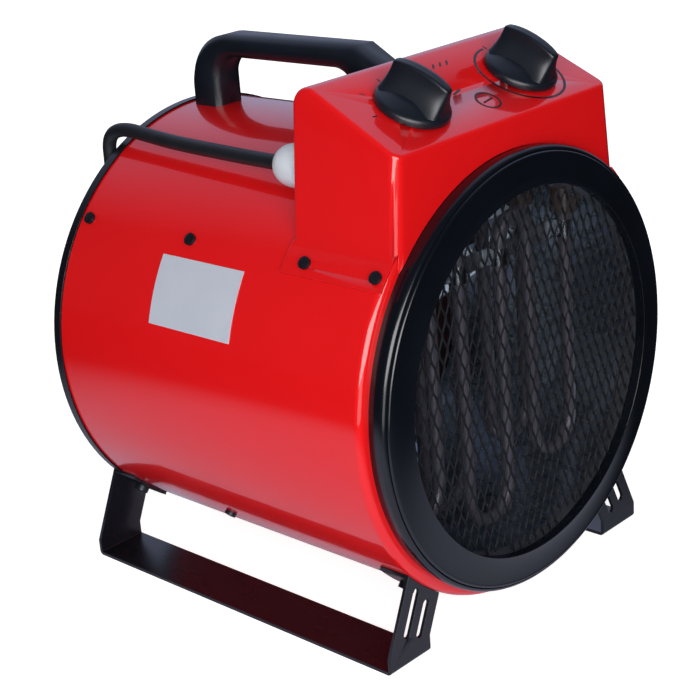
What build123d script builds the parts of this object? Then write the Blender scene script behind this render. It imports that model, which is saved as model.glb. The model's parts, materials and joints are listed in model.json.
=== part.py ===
from build123d import *
from math import acos, asin, atan2, cos, degrees, hypot, pi, radians, sin, sqrt, tan
import os

# Drum-type forced air heater for workshops: an enamelled steel drum that lies on two strip-steel
# stands, with a meshed outlet, two serpentine tubular elements, a fan and its motor, a rear wire
# guard, a control box with two knobs, a carrying handle and a rubber cord with its plug.
# Millimetres. X is across, the outlet faces -Y, Z is up from the floor. "Depth" is the distance
# behind the front face of the drum, "height" the distance above the drum's axis.

os.makedirs("parts", exist_ok=True)

# ---- clearances ---------------------------------------------------------------------------
skin_gap = 0.1          # between curved sheets that lie on each other
fit_gap = 0.3           # between loose neighbours
running_gap = 0.05      # radial, shaft in bush
touch = 0.02            # radial, pressed-on parts

# ---- drum ---------------------------------------------------------------------------------
drum_radius = 130.0
drum_length = 241.8
drum_wall = 1.2
edge_roll = 6.5         # outside radius of the rolled front edge
flange_bore = 105.6     # bore radius of the drum's front flange
ground_gap = 9.6        # between the drum and the floor

# ---- front bezel and mesh -----------------------------------------------------------------
bezel_back_radius = 123.3
bezel_radius = 124.5
bezel_depth = 14.0
bezel_bore = 103.8
bezel_wall = 2.6
mesh_thickness = 1.2
mesh_seat = 3.0         # radial width of the mesh's seat behind the bezel's lip
mesh_recess = 5.4       # from the bezel's nose back to the mesh
strand_width = 2.0
diamond_height = 24.0
diamond_width = 9.8
retainer_wall = 2.4
bezel_screw_count = 6
bezel_screw_circle = 114.5
bezel_screw_start = 30.0

# ---- rear trim and guard ------------------------------------------------------------------
trim_wall = 1.0
trim_grip = 4.0
trim_notch = 0.6        # degrees, beside each stand's flange
trim_web = 2.2
guard_band_width = 13.0
guard_band_wall = 1.5
guard_depth = 224.2     # front edge of the guard's band
guard_wire = 1.5        # wire radius
guard_ring_first = 21.0
guard_ring_pitch = 9.6
guard_ring_count = 11
guard_spokes = 8

# ---- inner duct ---------------------------------------------------------------------------
duct_radius = 110.0
duct_wall = 0.8
duct_length = 128.0
spacer_length = 14.0
spacer_sheet = 1.2
spacer_foot = 12.0
spacer_depth = 82.0
spacer_start = 45.0

# ---- heating elements ---------------------------------------------------------------------
element_depths = (24.0, 56.0)
element_radius = 4.0
middle_leg = 18.0       # leg positions across, from the centre
inner_leg = 44.0
outer_leg = 80.0
middle_bottom = -98.0   # heights of the tube's centreline
side_bottom = -76.0
arch_top = 76.0
terminal_rise = 1.5     # of the sheath's ends above the drum's skin beside them
insulator_radius = 5.5
insulator_length = 8.0
stud_radius = 2.5
stud_length = 8.0
link_width = 8.0
link_sheet = 1.0
terminal_nut = 4.4
terminal_nut_height = 3.0
bush_radius = 8.0
bush_bottom = 66.0
bush_flange_radius = 11.0
bush_flange = 2.5
bar_height = 56.0
bar_width = 10.0
bar_sheet = 1.2
clip_sheet = 1.0
clip_foot = 5.0
terminal_hole = 9.0

# ---- fan and motor ------------------------------------------------------------------------
fan_depth = 118.0
fan_tip_radius = 104.5
fan_blades = 5
blade_thickness = 1.6
blade_root_chord = 32.0
blade_tip_chord = 54.0
blade_root_pitch = 42.0
blade_tip_pitch = 24.0
hub_radius = 23.0
hub_length = 21.0
shaft_radius = 4.0
motor_face = 138.2
motor_radius = 42.0
motor_wall = 1.2
motor_cover = 2.5
motor_body_length = 54.0
boss_radius = 11.0
boss_length = 3.6
bearing_radius = 8.0
stator_bore = 22.5
stator_inset = 9.0
stator_stack = 34.0
winding_length = 5.5
rotor_gap = 0.6
bracket_sheet = 1.5
bracket_arm = 16.0
bracket_disc = 36.0
bracket_screw_depth = 143.3
bracket_flange = 14.0
bracket_angles = (38.3, 141.7, 223.8, 316.2)
motor_screw_circle = 30.0

# ---- control box --------------------------------------------------------------------------
box_front_rise = 11.3   # of its front upper edge above the drum
box_depth = 69.9
panel_slope = 26.5      # degrees, the top falls to the front
box_half_width = 89.9   # at the front top edge
box_flare = 0.099       # the sides open downwards by this much per millimetre
box_sheet = 1.2
box_back_round = 10.0
box_corner_round = 6.0  # upright front corners
box_edge_round = 2.4
box_lap = 1.3           # the front wall stands this far before the drum
box_flange_angle = 35.2
cover_screw_angle = 38.3
cover_screw_depths = (5.6, 54.5)
wire_hole_radius = 13.0
wire_hole_depth = 38.0

# ---- knobs and what they turn -------------------------------------------------------------
knob_across = 45.8
knob_up = 28.2
selector_rest = 8.0     # degrees the pointers rest left of straight up the slope
thermostat_rest = 3.0
knob_radius = 20.8
knob_rise = 0.8
knob_skirt = 5.4
knob_height = 21.0
grip_length = 39.4
grip_width = 24.0
ridge_length = 34.4
ridge_width = 8.6
knob_shell = 2.2
knob_boss = 6.0
spindle_radius = 3.0
bush_collar = 5.0
collar_stand = 1.6
switch_size = 32.0
switch_height = 17.0
thermostat_radius = 18.0
thermostat_height = 14.0
control_screw_offset = 12.0
control_screw_length = 8.0
spindle_depth = 12.0
pointer_length = 9.0
pointer_width = 1.2
block_across = -34.0
block_rise = 7.5
block_length = 36.0
block_width = 16.0
block_height = 13.0
clamp_radius = 2.2

# ---- inner wiring -------------------------------------------------------------------------
core_radius = 1.3
motor_lead_radius = 2.2
grommet_flange = 2.5
capillary_radius = 0.9
bulb_radius = 3.2
bulb_length = 38.0
bulb_depth = 178.0
bulb_inset = 6.8
bulb_angle = 75.0
arc_share = 0.45        # of the shorter run that an arc of a tube takes

# ---- handle -------------------------------------------------------------------------------
handle_clearance = 30.5
handle_thickness = 13.0
handle_width = 22.6
handle_front = 74.0
handle_back = 232.9
handle_front_leg = 26.0
handle_back_leg = 24.0
handle_outer_round = 33.0
handle_inner_round = 14.0
handle_nose_run = 23.0  # slope of the front upper corner
handle_nose_drop = 13.5
handle_chamfer = 3.6
handle_screw_across = 6.5
handle_back_screw_inset = 16.0
handle_screw_length = 20.0

# ---- stands -------------------------------------------------------------------------------
strip_width = 33.0
strip_inner = 82.6
strip_thickness = 2.0
strip_front = 3.8
strip_back = 247.1
strip_upright = 10.0    # height of the vertical part
strip_lean = 24.5       # degrees
strip_flange = 20.0
bend_radius = 2.8
slot_width = 5.0
outer_slot = 28.0
inner_slot = 21.5
outer_slot_height = 29.4    # of the slots' middles above the floor
inner_slot_height = 22.3
slot_inset = 10.5       # from the strip's edges
front_bolt_inset = 10.0
back_bolt_inset = 14.0

# ---- fasteners ----------------------------------------------------------------------------
screw_head = 3.5
screw_head_height = 2.0
screw_shank = 1.9
screw_hole = 2.1
bolt_head = 4.6
bolt_head_height = 3.2
bolt_shank = 2.5
bolt_hole = 2.8
nut_radius = 4.6
nut_height = 4.0

# ---- rating plate -------------------------------------------------------------------------
plate_depths = (95.5, 160.0)
plate_angles = (146.5, 164.0)
plate_thickness = 0.4

# ---- cord and plug ------------------------------------------------------------------------
cord_radius = 4.25
gland_across = -76.0
gland_drop = 6.0        # of its axis below the drum's crown
gland_radius = 12.0
gland_hex = 5.0
gland_dome = 20.0
gland_thread = 9.8
gland_thread_length = 7.4
gland_bore = 4.35
tail_depth = 62.0       # the cord's end inside the box
coil_turns = 4
coil_radius = 54.5      # of the outermost half turn
coil_step = 9.3         # from one turn to the next beside it
coil_rise = 9.1         # from one layer to the next
coil_across = 66.0
coil_depth = 331.0
coil_end = 27.0         # straight stretch from the last turn to the plug
plug_width = 50.0
plug_length = 46.0
plug_thickness = 24.0
plug_relief = 24.0
plug_round = 8.0
pin_length = 17.7
pin_root = 6.0          # inside the plug
pin_sizes = ((6.3, 4.0), (6.3, 4.0), (4.0, 8.0))
pin_places = ((-11.1, 11.0), (11.1, 11.0), (0.0, -11.0))   # across the plug and along the cord

# ---- derived places -----------------------------------------------------------------------
overall_depth = bezel_depth + strip_back
axis_height = drum_radius + ground_gap
box_front_height = drum_radius + box_front_rise
block_level = drum_radius + block_rise
gland_height = drum_radius - gland_drop
handle_under = drum_radius + handle_clearance
handle_top = handle_under + handle_thickness
sheath_top = sqrt(drum_radius**2 - outer_leg**2) + terminal_rise
front_y = bezel_depth - overall_depth / 2          # the drum's front face
drum_bore = drum_radius - drum_wall
drum_axis = Axis((0, 0, axis_height), (0, 1, 0))
lathe_plane = Plane(origin=(0, front_y, axis_height), x_dir=(0, 1, 0), z_dir=(1, 0, 0))
slope_sin = sin(radians(panel_slope))
slope_cos = cos(radians(panel_slope))
box_back_height = box_front_height + box_depth * tan(radians(panel_slope))
duct_bore = duct_radius - duct_wall
MIN = (Align.CENTER, Align.CENTER, Align.MIN)
MAX = (Align.CENTER, Align.CENTER, Align.MAX)


def across(depth):
    """Plane square to the drum's axis: local x is +X, local y is up, its normal faces the outlet."""
    return Plane(origin=(0, front_y + depth, axis_height), x_dir=(1, 0, 0), z_dir=(0, -1, 0))


def radial(angle, depth, radius=0.0):
    """Plane on the drum whose normal points away from the axis at an angle from +X."""
    out = Vector(cos(radians(angle)), 0, sin(radians(angle)))
    place = Vector(0, front_y + depth, axis_height) + out * radius
    return Plane(origin=place, x_dir=(0, 1, 0), z_dir=out)


def upright(x, depth, height):
    """Plane whose normal points up, at a place across, behind the front and above the axis."""
    return Plane(origin=(x, front_y + depth, axis_height + height), x_dir=(1, 0, 0), z_dir=(0, 0, 1))


def panel(x, up, rise=0.0, turn=0.0):
    """Plane on the sloping control panel, up its slope and above its skin, turned about its normal."""
    y = front_y + up * slope_cos - rise * slope_sin
    z = axis_height + box_front_height + up * slope_sin + rise * slope_cos
    level, climb = cos(radians(turn)), sin(radians(turn))
    return Plane(origin=(x, y, z), x_dir=(level, climb * slope_cos, climb * slope_sin),
                 z_dir=(0, -slope_sin, slope_cos))


def polar(radius, angle):
    """Point of a section plane at a radius and an angle from +X."""
    return (radius * cos(radians(angle)), radius * sin(radians(angle)))


def sector(inner, outer, start, end):
    """Face between two radii and two angles, for a section plane."""
    with BuildSketch(Plane.XY, mode=Mode.PRIVATE) as face:
        with BuildLine():
            outside = CenterArc((0, 0), outer, start, end - start)
            inside = CenterArc((0, 0), inner, start, end - start)
            Line(inside @ 0, outside @ 0)
            Line(inside @ 1, outside @ 1)
        make_face()
    return face.sketch


def pin(place, radius, length, **options):
    """Straight round pin that stands on a plane."""
    with Locations(place):
        Cylinder(radius, length, align=MIN, **options)


def hole(place, radius, reach):
    """Round hole through a wall, the same distance to both sides of a plane."""
    with Locations(place):
        Cylinder(radius, 2 * reach, mode=Mode.SUBTRACT)


def screw(place, head_radius, head_height, shank_radius, shank_length):
    """Pan-head screw: its head stands on the plane and its shank goes down from it."""
    with Locations(place):
        Cylinder(head_radius, head_height, align=MIN)
        Cylinder(shank_radius, shank_length, align=MAX)


def finish(piece, name):
    """Name a piece and write it."""
    piece.part.label = name
    export_step(piece.part, f"parts/{name}.step")


# ======== drum =============================================================================
handle_front_screw = handle_front + handle_front_leg / 2
handle_back_screw = handle_back - handle_back_screw_inset
handle_screws_at = [(side * handle_screw_across, depth)
                    for depth in (handle_front_screw, handle_back_screw) for side in (-1, 1)]
guard_screw_depth = guard_depth + guard_band_width / 2
terminals_at = [(side * outer_leg, depth) for depth in element_depths for side in (-1, 1)]

strip_outer = strip_inner + strip_width
strip_foot_height = strip_upright - axis_height          # height where the lean starts
lean_run = tan(radians(strip_lean))


def strip_edge_angle(foot):
    """Angle, below +X, where a leaning edge of the stand's strip meets the drum."""
    reach = hypot(lean_run, 1)
    base = foot + lean_run * strip_foot_height
    return degrees(asin(base / (drum_radius * reach))) + strip_lean - 90


strip_angles = (strip_edge_angle(strip_outer), strip_edge_angle(strip_inner))
stand_bolt_angle = (strip_angles[0] + strip_angles[1]) / 2
stand_bolts_at = [(angle, depth)
                  for angle in (stand_bolt_angle, 180 - stand_bolt_angle)
                  for depth in (strip_front + front_bolt_inset, strip_back - back_bolt_inset)]

with BuildPart() as drum_shell:
    with BuildSketch(lathe_plane):
        with BuildLine():
            CenterArc((edge_roll, drum_radius - edge_roll), edge_roll, 90, 90)
            CenterArc((edge_roll, drum_radius - edge_roll), edge_roll - drum_wall, 90, 90)
            Line((edge_roll, drum_radius), (drum_length, drum_radius))
            Line((drum_length, drum_radius), (drum_length, drum_bore))
            Line((drum_length, drum_bore), (edge_roll, drum_bore))
            Line((0, drum_radius - edge_roll), (0, flange_bore))
            Line((0, flange_bore), (drum_wall, flange_bore))
            Line((drum_wall, flange_bore), (drum_wall, drum_radius - edge_roll))
        make_face()
    revolve(axis=drum_axis)
    with Locations(across(0)):
        with PolarLocations(bezel_screw_circle, bezel_screw_count, start_angle=bezel_screw_start):
            Cylinder(screw_hole, 4 * drum_wall, mode=Mode.SUBTRACT)
    for angle in bracket_angles:
        hole(radial(angle, bracket_screw_depth, drum_radius), screw_hole, drum_wall * 2)
    for angle in (cover_screw_angle, 180 - cover_screw_angle):
        hole(radial(angle, guard_screw_depth, drum_radius), screw_hole, drum_wall * 2)
        for depth in cover_screw_depths:
            hole(radial(angle, depth, drum_radius), screw_hole, drum_wall * 2)
    for angle, depth in stand_bolts_at:
        hole(radial(angle, depth, drum_radius), bolt_hole, drum_wall * 2)
    for x, depth in handle_screws_at:
        hole(upright(x, depth, drum_radius), screw_hole, drum_wall * 2)
    for x, depth in terminals_at:
        hole(upright(x, depth, sqrt(drum_radius**2 - x**2)), terminal_hole, terminal_hole * 2)
    hole(upright(0, wire_hole_depth, drum_radius), wire_hole_radius, drum_wall * 3)
finish(drum_shell, "drum_shell")

# ======== front bezel, mesh and their screws ===============================================
# The bezel is a moulded ring: outer band, groove, raised bead, then a face that rises to the lip.
bezel_band_depth = 0.56 * bezel_depth
mesh_front = mesh_recess - bezel_depth                   # depth of the mesh's outer face
mesh_radius = bezel_bore + mesh_seat
bezel_boss = screw_shank + 2.0

with BuildPart() as front_bezel:
    with BuildSketch(lathe_plane):
        with BuildLine():
            Polyline((0, bezel_back_radius), (-bezel_band_depth, bezel_radius))
            ThreePointArc((-bezel_band_depth, bezel_radius),
                          (-0.71 * bezel_depth, bezel_radius - 0.8),
                          (-0.78 * bezel_depth, bezel_radius - 2.3))
            Line((-0.78 * bezel_depth, bezel_radius - 2.3), (-0.74 * bezel_depth, bezel_radius - 2.9))
            ThreePointArc((-0.74 * bezel_depth, bezel_radius - 2.9),
                          (-0.86 * bezel_depth, bezel_radius - 3.7),
                          (-0.85 * bezel_depth, bezel_radius - 5.2))
            Line((-0.85 * bezel_depth, bezel_radius - 5.2), (0.6 - bezel_depth, bezel_bore + 1.6))
            ThreePointArc((0.6 - bezel_depth, bezel_bore + 1.6), (-bezel_depth, bezel_bore + 0.8),
                          (0.8 - bezel_depth, bezel_bore))
            Polyline((0.8 - bezel_depth, bezel_bore), (mesh_front, bezel_bore),
                     (mesh_front, mesh_radius + fit_gap),
                     (bezel_wall - bezel_depth, bezel_radius - 10.2),
                     (bezel_wall - 0.8 * bezel_depth, bezel_radius - 5.6),
                     (-bezel_band_depth, bezel_radius - bezel_wall),
                     (0, bezel_back_radius - bezel_wall), (0, bezel_back_radius))
        make_face()
    revolve(axis=drum_axis)
    with Locations(across(0)):
        with PolarLocations(bezel_screw_circle, bezel_screw_count, start_angle=bezel_screw_start):
            Cylinder(bezel_boss, bezel_depth - bezel_wall, align=MIN)
            Cylinder(screw_shank + touch, 2 * (bezel_depth - 2 * bezel_wall), mode=Mode.SUBTRACT)
finish(front_bezel, "front_bezel")

# Expanded steel mesh: one flat disc whose diamonds stand in offset rows.
with BuildPart() as outlet_mesh:
    with BuildSketch(across(mesh_front + mesh_thickness)):
        Circle(mesh_radius)
        open_share = 1 - strand_width * hypot(diamond_width, diamond_height) / (diamond_width * diamond_height)
        half_width = open_share * diamond_width / 2
        half_height = open_share * diamond_height / 2
        rows = int(bezel_bore / (diamond_height / 2)) + 1
        columns = int(bezel_bore / diamond_width) + 1
        diamonds = []
        for row in range(-rows, rows + 1):
            for column in range(-columns, columns + 1):
                x = (column + 0.5 * (row % 2)) * diamond_width
                height = row * diamond_height / 2
                if hypot(x, height) < bezel_bore - half_width:
                    diamonds.append((x, height))
        with Locations(*diamonds):
            Polygon((half_width, 0), (0, half_height), (-half_width, 0), (0, -half_height),
                    align=None, mode=Mode.SUBTRACT)
        add(sector(bezel_bore, mesh_radius, 0, 180))
        add(sector(bezel_bore, mesh_radius, 180, 360))
    extrude(amount=mesh_thickness)
print("mesh diamonds", len(diamonds))
finish(outlet_mesh, "outlet_mesh")

with BuildPart() as mesh_retainer:
    with BuildSketch(across(0)):
        Circle(mesh_radius)
        Circle(mesh_radius - retainer_wall, mode=Mode.SUBTRACT)
    extrude(amount=-(mesh_front + mesh_thickness))
finish(mesh_retainer, "mesh_retainer")

with BuildPart() as bezel_screws:
    with Locations(Plane(across(drum_wall).origin, x_dir=(1, 0, 0), z_dir=(0, 1, 0))):
        with PolarLocations(bezel_screw_circle, bezel_screw_count, start_angle=bezel_screw_start):
            Cylinder(screw_head, screw_head_height, align=MIN)
            Cylinder(screw_shank, drum_wall + 0.5 * bezel_depth, align=MAX)
finish(bezel_screws, "bezel_screws")

# ======== inner duct =======================================================================
bush_hole = bush_radius + fit_gap

with BuildPart() as inner_duct:
    with BuildSketch(across(drum_wall + skin_gap + duct_length)):
        Circle(duct_radius)
        Circle(duct_bore, mode=Mode.SUBTRACT)
    extrude(amount=duct_length)
    for x, depth in terminals_at:
        hole(upright(x, depth, sqrt(duct_radius**2 - x**2)), bush_hole, 2 * bush_hole)
finish(inner_duct, "inner_duct")

# Four folded sheet spacers hold the duct in the middle of the drum.
foot_angle = degrees(spacer_foot / duct_radius)
spacer_inside = duct_radius + skin_gap
spacer_outside = drum_bore - skin_gap

with BuildPart() as duct_spacers:
    with BuildSketch(across(spacer_depth + spacer_length)):
        for quarter in range(4):
            angle = spacer_start + 90 * quarter
            add(sector(spacer_inside, spacer_inside + spacer_sheet, angle, angle + foot_angle))
            add(sector(spacer_outside - spacer_sheet, spacer_outside, angle - foot_angle, angle))
            add(sector(spacer_inside, spacer_outside, angle - degrees(spacer_sheet / duct_radius) / 2,
                       angle + degrees(spacer_sheet / duct_radius) / 2))
    extrude(amount=spacer_length)
finish(duct_spacers, "duct_spacers")

# ======== heating elements =================================================================
side_round = (outer_leg - inner_leg) / 2
arch_round = (inner_leg - middle_leg) / 2


leg_places = (-outer_leg, -inner_leg, -middle_leg, middle_leg, inner_leg, outer_leg)
side_low = side_bottom + side_round
middle_low = middle_bottom + middle_leg
arch_high = arch_top - arch_round
leg_lows = (side_low, side_low, middle_low, middle_low, side_low, side_low)
leg_highs = (sheath_top, arch_high, arch_high, arch_high, arch_high, sheath_top)


def element(depth):
    """One sheathed tube: six legs, three bends below and two arches, square to the drum's axis."""
    with BuildPart() as tube:
        with BuildLine(across(depth)) as route:
            for number, x in enumerate(leg_places):
                Line((x, leg_highs[number]), (x, leg_lows[number]))
            for number, (left, right) in enumerate(zip(leg_places, leg_places[1:])):
                bend_below = number % 2 == 0
                level = leg_lows[number] if bend_below else leg_highs[number]
                reach = (left - right) / 2 if bend_below else (right - left) / 2
                ThreePointArc((left, level), ((left + right) / 2, level + reach), (right, level))
        with BuildSketch(upright(-outer_leg, depth, sheath_top)):
            Circle(element_radius)
        sweep()
    length = sum(edge.length for edge in route.edges())
    print("element length", round(length, 1), "volume share",
          round(tube.part.volume / (pi * element_radius**2 * length), 4))
    return tube


element_front = element(element_depths[0])
finish(element_front, "element_front")
element_rear = element(element_depths[1])
finish(element_rear, "element_rear")

with BuildPart() as element_bushes:
    seat = sqrt(duct_radius**2 - (outer_leg - bush_flange_radius)**2) + skin_gap
    for x, depth in terminals_at:
        pin(upright(x, depth, bush_bottom), bush_radius, seat - bush_bottom)
        pin(upright(x, depth, seat), bush_flange_radius, bush_flange)
        hole(upright(x, depth, seat), element_radius + running_gap, seat - bush_bottom)
finish(element_bushes, "element_bushes")

with BuildPart() as terminal_insulators:
    for x, depth in terminals_at:
        pin(upright(x, depth, sheath_top), insulator_radius, insulator_length)
finish(terminal_insulators, "terminal_insulators")

with BuildPart() as terminal_studs:
    for x, depth in terminals_at:
        pin(upright(x, depth, sheath_top + insulator_length), stud_radius, stud_length)
        pin(upright(x, depth, sheath_top + insulator_length), 1.8 * stud_radius, stud_radius)
finish(terminal_studs, "terminal_studs")

# A flat bar behind each element spans the duct; its folded ears lie on the duct's wall.
bar_seat = element_radius + fit_gap
ear_inside = duct_bore - skin_gap - bar_sheet

with BuildPart() as element_bars:
    for depth in element_depths:
        with BuildSketch(across(depth + bar_seat + bar_sheet)):
            Circle(duct_bore - skin_gap)
            with Locations((0, bar_height)):
                Rectangle(2 * duct_radius, bar_width, mode=Mode.INTERSECT)
        extrude(amount=bar_sheet)
        with BuildSketch(across(depth + bar_seat + bar_width)):
            Circle(duct_bore - skin_gap)
            Circle(ear_inside, mode=Mode.SUBTRACT)
            with Locations((0, bar_height)):
                Rectangle(2 * duct_radius, bar_width, mode=Mode.INTERSECT)
        extrude(amount=bar_width)
finish(element_bars, "element_bars")

# Bent clips hold the legs to the bars.
clip_legs = (-outer_leg, -middle_leg, middle_leg, outer_leg)
clip_inside = element_radius + running_gap

with BuildPart() as element_clips:
    for depth in element_depths:
        for x in clip_legs:
            with BuildSketch(upright(x, depth, bar_height - bar_width / 2)):
                add(sector(clip_inside, clip_inside + clip_sheet, 180, 360))
                for side in (-1, 1):
                    with Locations((side * (clip_inside + clip_sheet / 2), bar_seat / 2)):
                        Rectangle(clip_sheet, bar_seat)
                    foot = clip_inside + clip_foot / 2
                    with Locations((side * foot, bar_seat - clip_sheet / 2)):
                        Rectangle(clip_foot, clip_sheet)
            extrude(amount=bar_width)
finish(element_clips, "element_clips")

with BuildPart() as thermal_cutout:
    pin(radial(90, spacer_depth - 16, duct_radius + skin_gap), 8.0, 6.0)
    for side in (-1, 1):
        with Locations(radial(90, spacer_depth - 16, duct_radius + 6)):
            with Locations((0, side * 4.5)):
                Box(6.0, 0.8, 5.0, align=MIN)
finish(thermal_cutout, "thermal_cutout")

# ======== fan motor and its bracket ========================================================
motor_back = motor_face + motor_cover + motor_body_length
boss_front = motor_face - boss_length
stator_front = motor_face + motor_cover + stator_inset
boss_back = motor_back + motor_cover + boss_length

with BuildPart() as motor_bracket:
    plate_depth = motor_face - skin_gap
    with BuildSketch(across(plate_depth)):
        Circle(bracket_disc)
        for angle in bracket_angles:
            with Locations(Location((0, 0), angle)):
                Rectangle(drum_bore - skin_gap, bracket_arm, align=(Align.MIN, Align.CENTER))
        Circle(drum_bore - skin_gap, mode=Mode.INTERSECT)
        Circle(boss_radius + fit_gap, mode=Mode.SUBTRACT)
    extrude(amount=bracket_sheet)
    with BuildSketch(across(plate_depth - bracket_sheet + bracket_flange)):
        for angle in bracket_angles:
            with Locations(Location((0, 0), angle)):
                Rectangle(drum_bore - skin_gap, bracket_arm, align=(Align.MIN, Align.CENTER))
        Circle(drum_bore - skin_gap, mode=Mode.INTERSECT)
        Circle(drum_bore - skin_gap - bracket_sheet, mode=Mode.SUBTRACT)
    extrude(amount=bracket_flange)
    for angle in bracket_angles:
        hole(radial(angle, bracket_screw_depth, drum_bore), screw_shank + touch, 3 * bracket_sheet)
    with Locations(across(plate_depth)):
        with PolarLocations(motor_screw_circle, 4, start_angle=90):
            Cylinder(screw_shank + touch, 3 * bracket_sheet, mode=Mode.SUBTRACT)
finish(motor_bracket, "motor_bracket")


def bearing_cover(face, boss_end, inner):
    """Pressed end cover of the motor with a boss that holds a plain bearing."""
    with BuildPart() as cover:
        with BuildSketch(lathe_plane):
            with Locations(((face + inner) / 2, motor_radius / 2)):
                Rectangle(abs(face - inner), motor_radius)
            with Locations(((boss_end + inner) / 2, boss_radius / 2)):
                Rectangle(abs(boss_end - inner), boss_radius)
            with Locations(((boss_end + inner) / 2, (bearing_radius + touch) / 2)):
                Rectangle(abs(boss_end - inner) + 1, bearing_radius + touch, mode=Mode.SUBTRACT)
        revolve(axis=drum_axis)
    return cover


motor_front_cover = bearing_cover(motor_face, boss_front, motor_face + motor_cover)
with motor_front_cover:
    with Locations(across(motor_face)):
        with PolarLocations(motor_screw_circle, 4, start_angle=90):
            Cylinder(screw_shank + touch, 4 * motor_cover, mode=Mode.SUBTRACT)
finish(motor_front_cover, "motor_front_cover")
motor_rear_cover = bearing_cover(motor_back + motor_cover, boss_back, motor_back)
finish(motor_rear_cover, "motor_rear_cover")

with BuildPart() as motor_can:
    with BuildSketch(across(motor_back)):
        Circle(motor_radius)
        Circle(motor_radius - motor_wall, mode=Mode.SUBTRACT)
    extrude(amount=motor_body_length)
finish(motor_can, "motor_can")

with BuildPart() as motor_screws:
    with Locations(Plane(across(motor_face - skin_gap - bracket_sheet).origin,
                         x_dir=(1, 0, 0), z_dir=(0, -1, 0))):
        with PolarLocations(motor_screw_circle, 4, start_angle=90):
            Cylinder(screw_head, screw_head_height, align=MIN)
            Cylinder(screw_shank, bracket_sheet + motor_cover + 2, align=MAX)
finish(motor_screws, "motor_screws")

with BuildPart() as stator_core:
    with BuildSketch(across(stator_front + stator_stack)):
        Circle(motor_radius - motor_wall - skin_gap)
        Circle(stator_bore, mode=Mode.SUBTRACT)
    extrude(amount=stator_stack)
finish(stator_core, "stator_core")

with BuildPart() as stator_windings:
    for end in (stator_front - touch, stator_front + stator_stack + winding_length + touch):
        with BuildSketch(across(end)):
            Circle(motor_radius - motor_wall - 4)
            Circle(stator_bore + 3, mode=Mode.SUBTRACT)
        extrude(amount=winding_length)
finish(stator_windings, "stator_windings")

with BuildPart() as shaft_bearings:
    for start, end in ((boss_front, motor_face + motor_cover), (motor_back, boss_back)):
        with BuildSketch(across(end)):
            Circle(bearing_radius)
            Circle(shaft_radius + running_gap, mode=Mode.SUBTRACT)
        extrude(amount=end - start)
finish(shaft_bearings, "shaft_bearings")

# ======== fan, rotor and shaft =============================================================
hub_front = fan_depth - hub_length / 2
nut_thickness = 5.0
shaft_front = hub_front - nut_thickness - 1.5

with BuildPart() as motor_shaft:
    with BuildSketch(across(boss_back + 1.0)):
        Circle(shaft_radius)
    extrude(amount=boss_back + 1.0 - shaft_front)
finish(motor_shaft, "motor_shaft")

with BuildPart() as rotor_core:
    with BuildSketch(across(stator_front + stator_stack)):
        Circle(stator_bore - rotor_gap)
        Circle(shaft_radius + touch, mode=Mode.SUBTRACT)
    extrude(amount=stator_stack)
finish(rotor_core, "rotor_core")


def blade_section(angle, radius, chord, pitch):
    """Blade profile at a radius, square to the radius, turned to its pitch."""
    with BuildSketch(radial(angle, fan_depth, radius), mode=Mode.PRIVATE) as profile:
        SlotOverall(chord, blade_thickness, rotation=90 - pitch)
    return profile.sketch


with BuildPart() as fan_impeller:
    with BuildSketch(across(fan_depth + hub_length / 2)):
        Circle(hub_radius)
    extrude(amount=hub_length)
    for number in range(fan_blades):
        turn = 90 + 360 * number / fan_blades
        loft([blade_section(turn, hub_radius - 3, blade_root_chord, blade_root_pitch),
              blade_section(turn, fan_tip_radius, blade_tip_chord, blade_tip_pitch)])
    with BuildSketch(across(fan_depth + hub_length / 2 + 1)):
        Circle(shaft_radius + touch)
    extrude(amount=hub_length + 2, mode=Mode.SUBTRACT)
finish(fan_impeller, "fan_impeller")

with BuildPart() as fan_nut:
    with BuildSketch(across(hub_front)):
        RegularPolygon(7.0, 6)
        Circle(shaft_radius + touch, mode=Mode.SUBTRACT)
    extrude(amount=nut_thickness)
finish(fan_nut, "fan_nut")

# ======== rear trim and guard ==============================================================
with BuildPart() as rear_trim:
    outer = drum_radius + skin_gap
    inner = drum_bore - skin_gap
    with BuildSketch(across(drum_length + skin_gap + trim_web)):
        Circle(outer + trim_wall)
        Circle(inner - trim_wall, mode=Mode.SUBTRACT)
    extrude(amount=trim_web + trim_grip)
    with BuildSketch(across(drum_length + skin_gap)):
        Circle(outer)
        Circle(inner, mode=Mode.SUBTRACT)
    extrude(amount=trim_grip, mode=Mode.SUBTRACT)
    fillet(rear_trim.edges().filter_by(GeomType.CIRCLE).group_by(Axis.Y)[-1]
           .sort_by(SortBy.RADIUS)[-1], 0.8 * trim_wall)
    for side in (1, -1):
        first, last = sorted((strip_angles[0] + trim_notch, strip_angles[1] - trim_notch))
        turned = (first, last) if side == 1 else (180 - last, 180 - first)
        with BuildSketch(across(drum_length + skin_gap + trim_web)):
            add(sector(outer, outer + 2 * trim_wall, *turned))
        extrude(amount=trim_web + trim_grip, mode=Mode.SUBTRACT)
finish(rear_trim, "rear_trim")

band_radius = drum_bore - skin_gap
band_bore = band_radius - guard_band_wall
spoke_depth = guard_depth + guard_band_width - guard_wire

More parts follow.
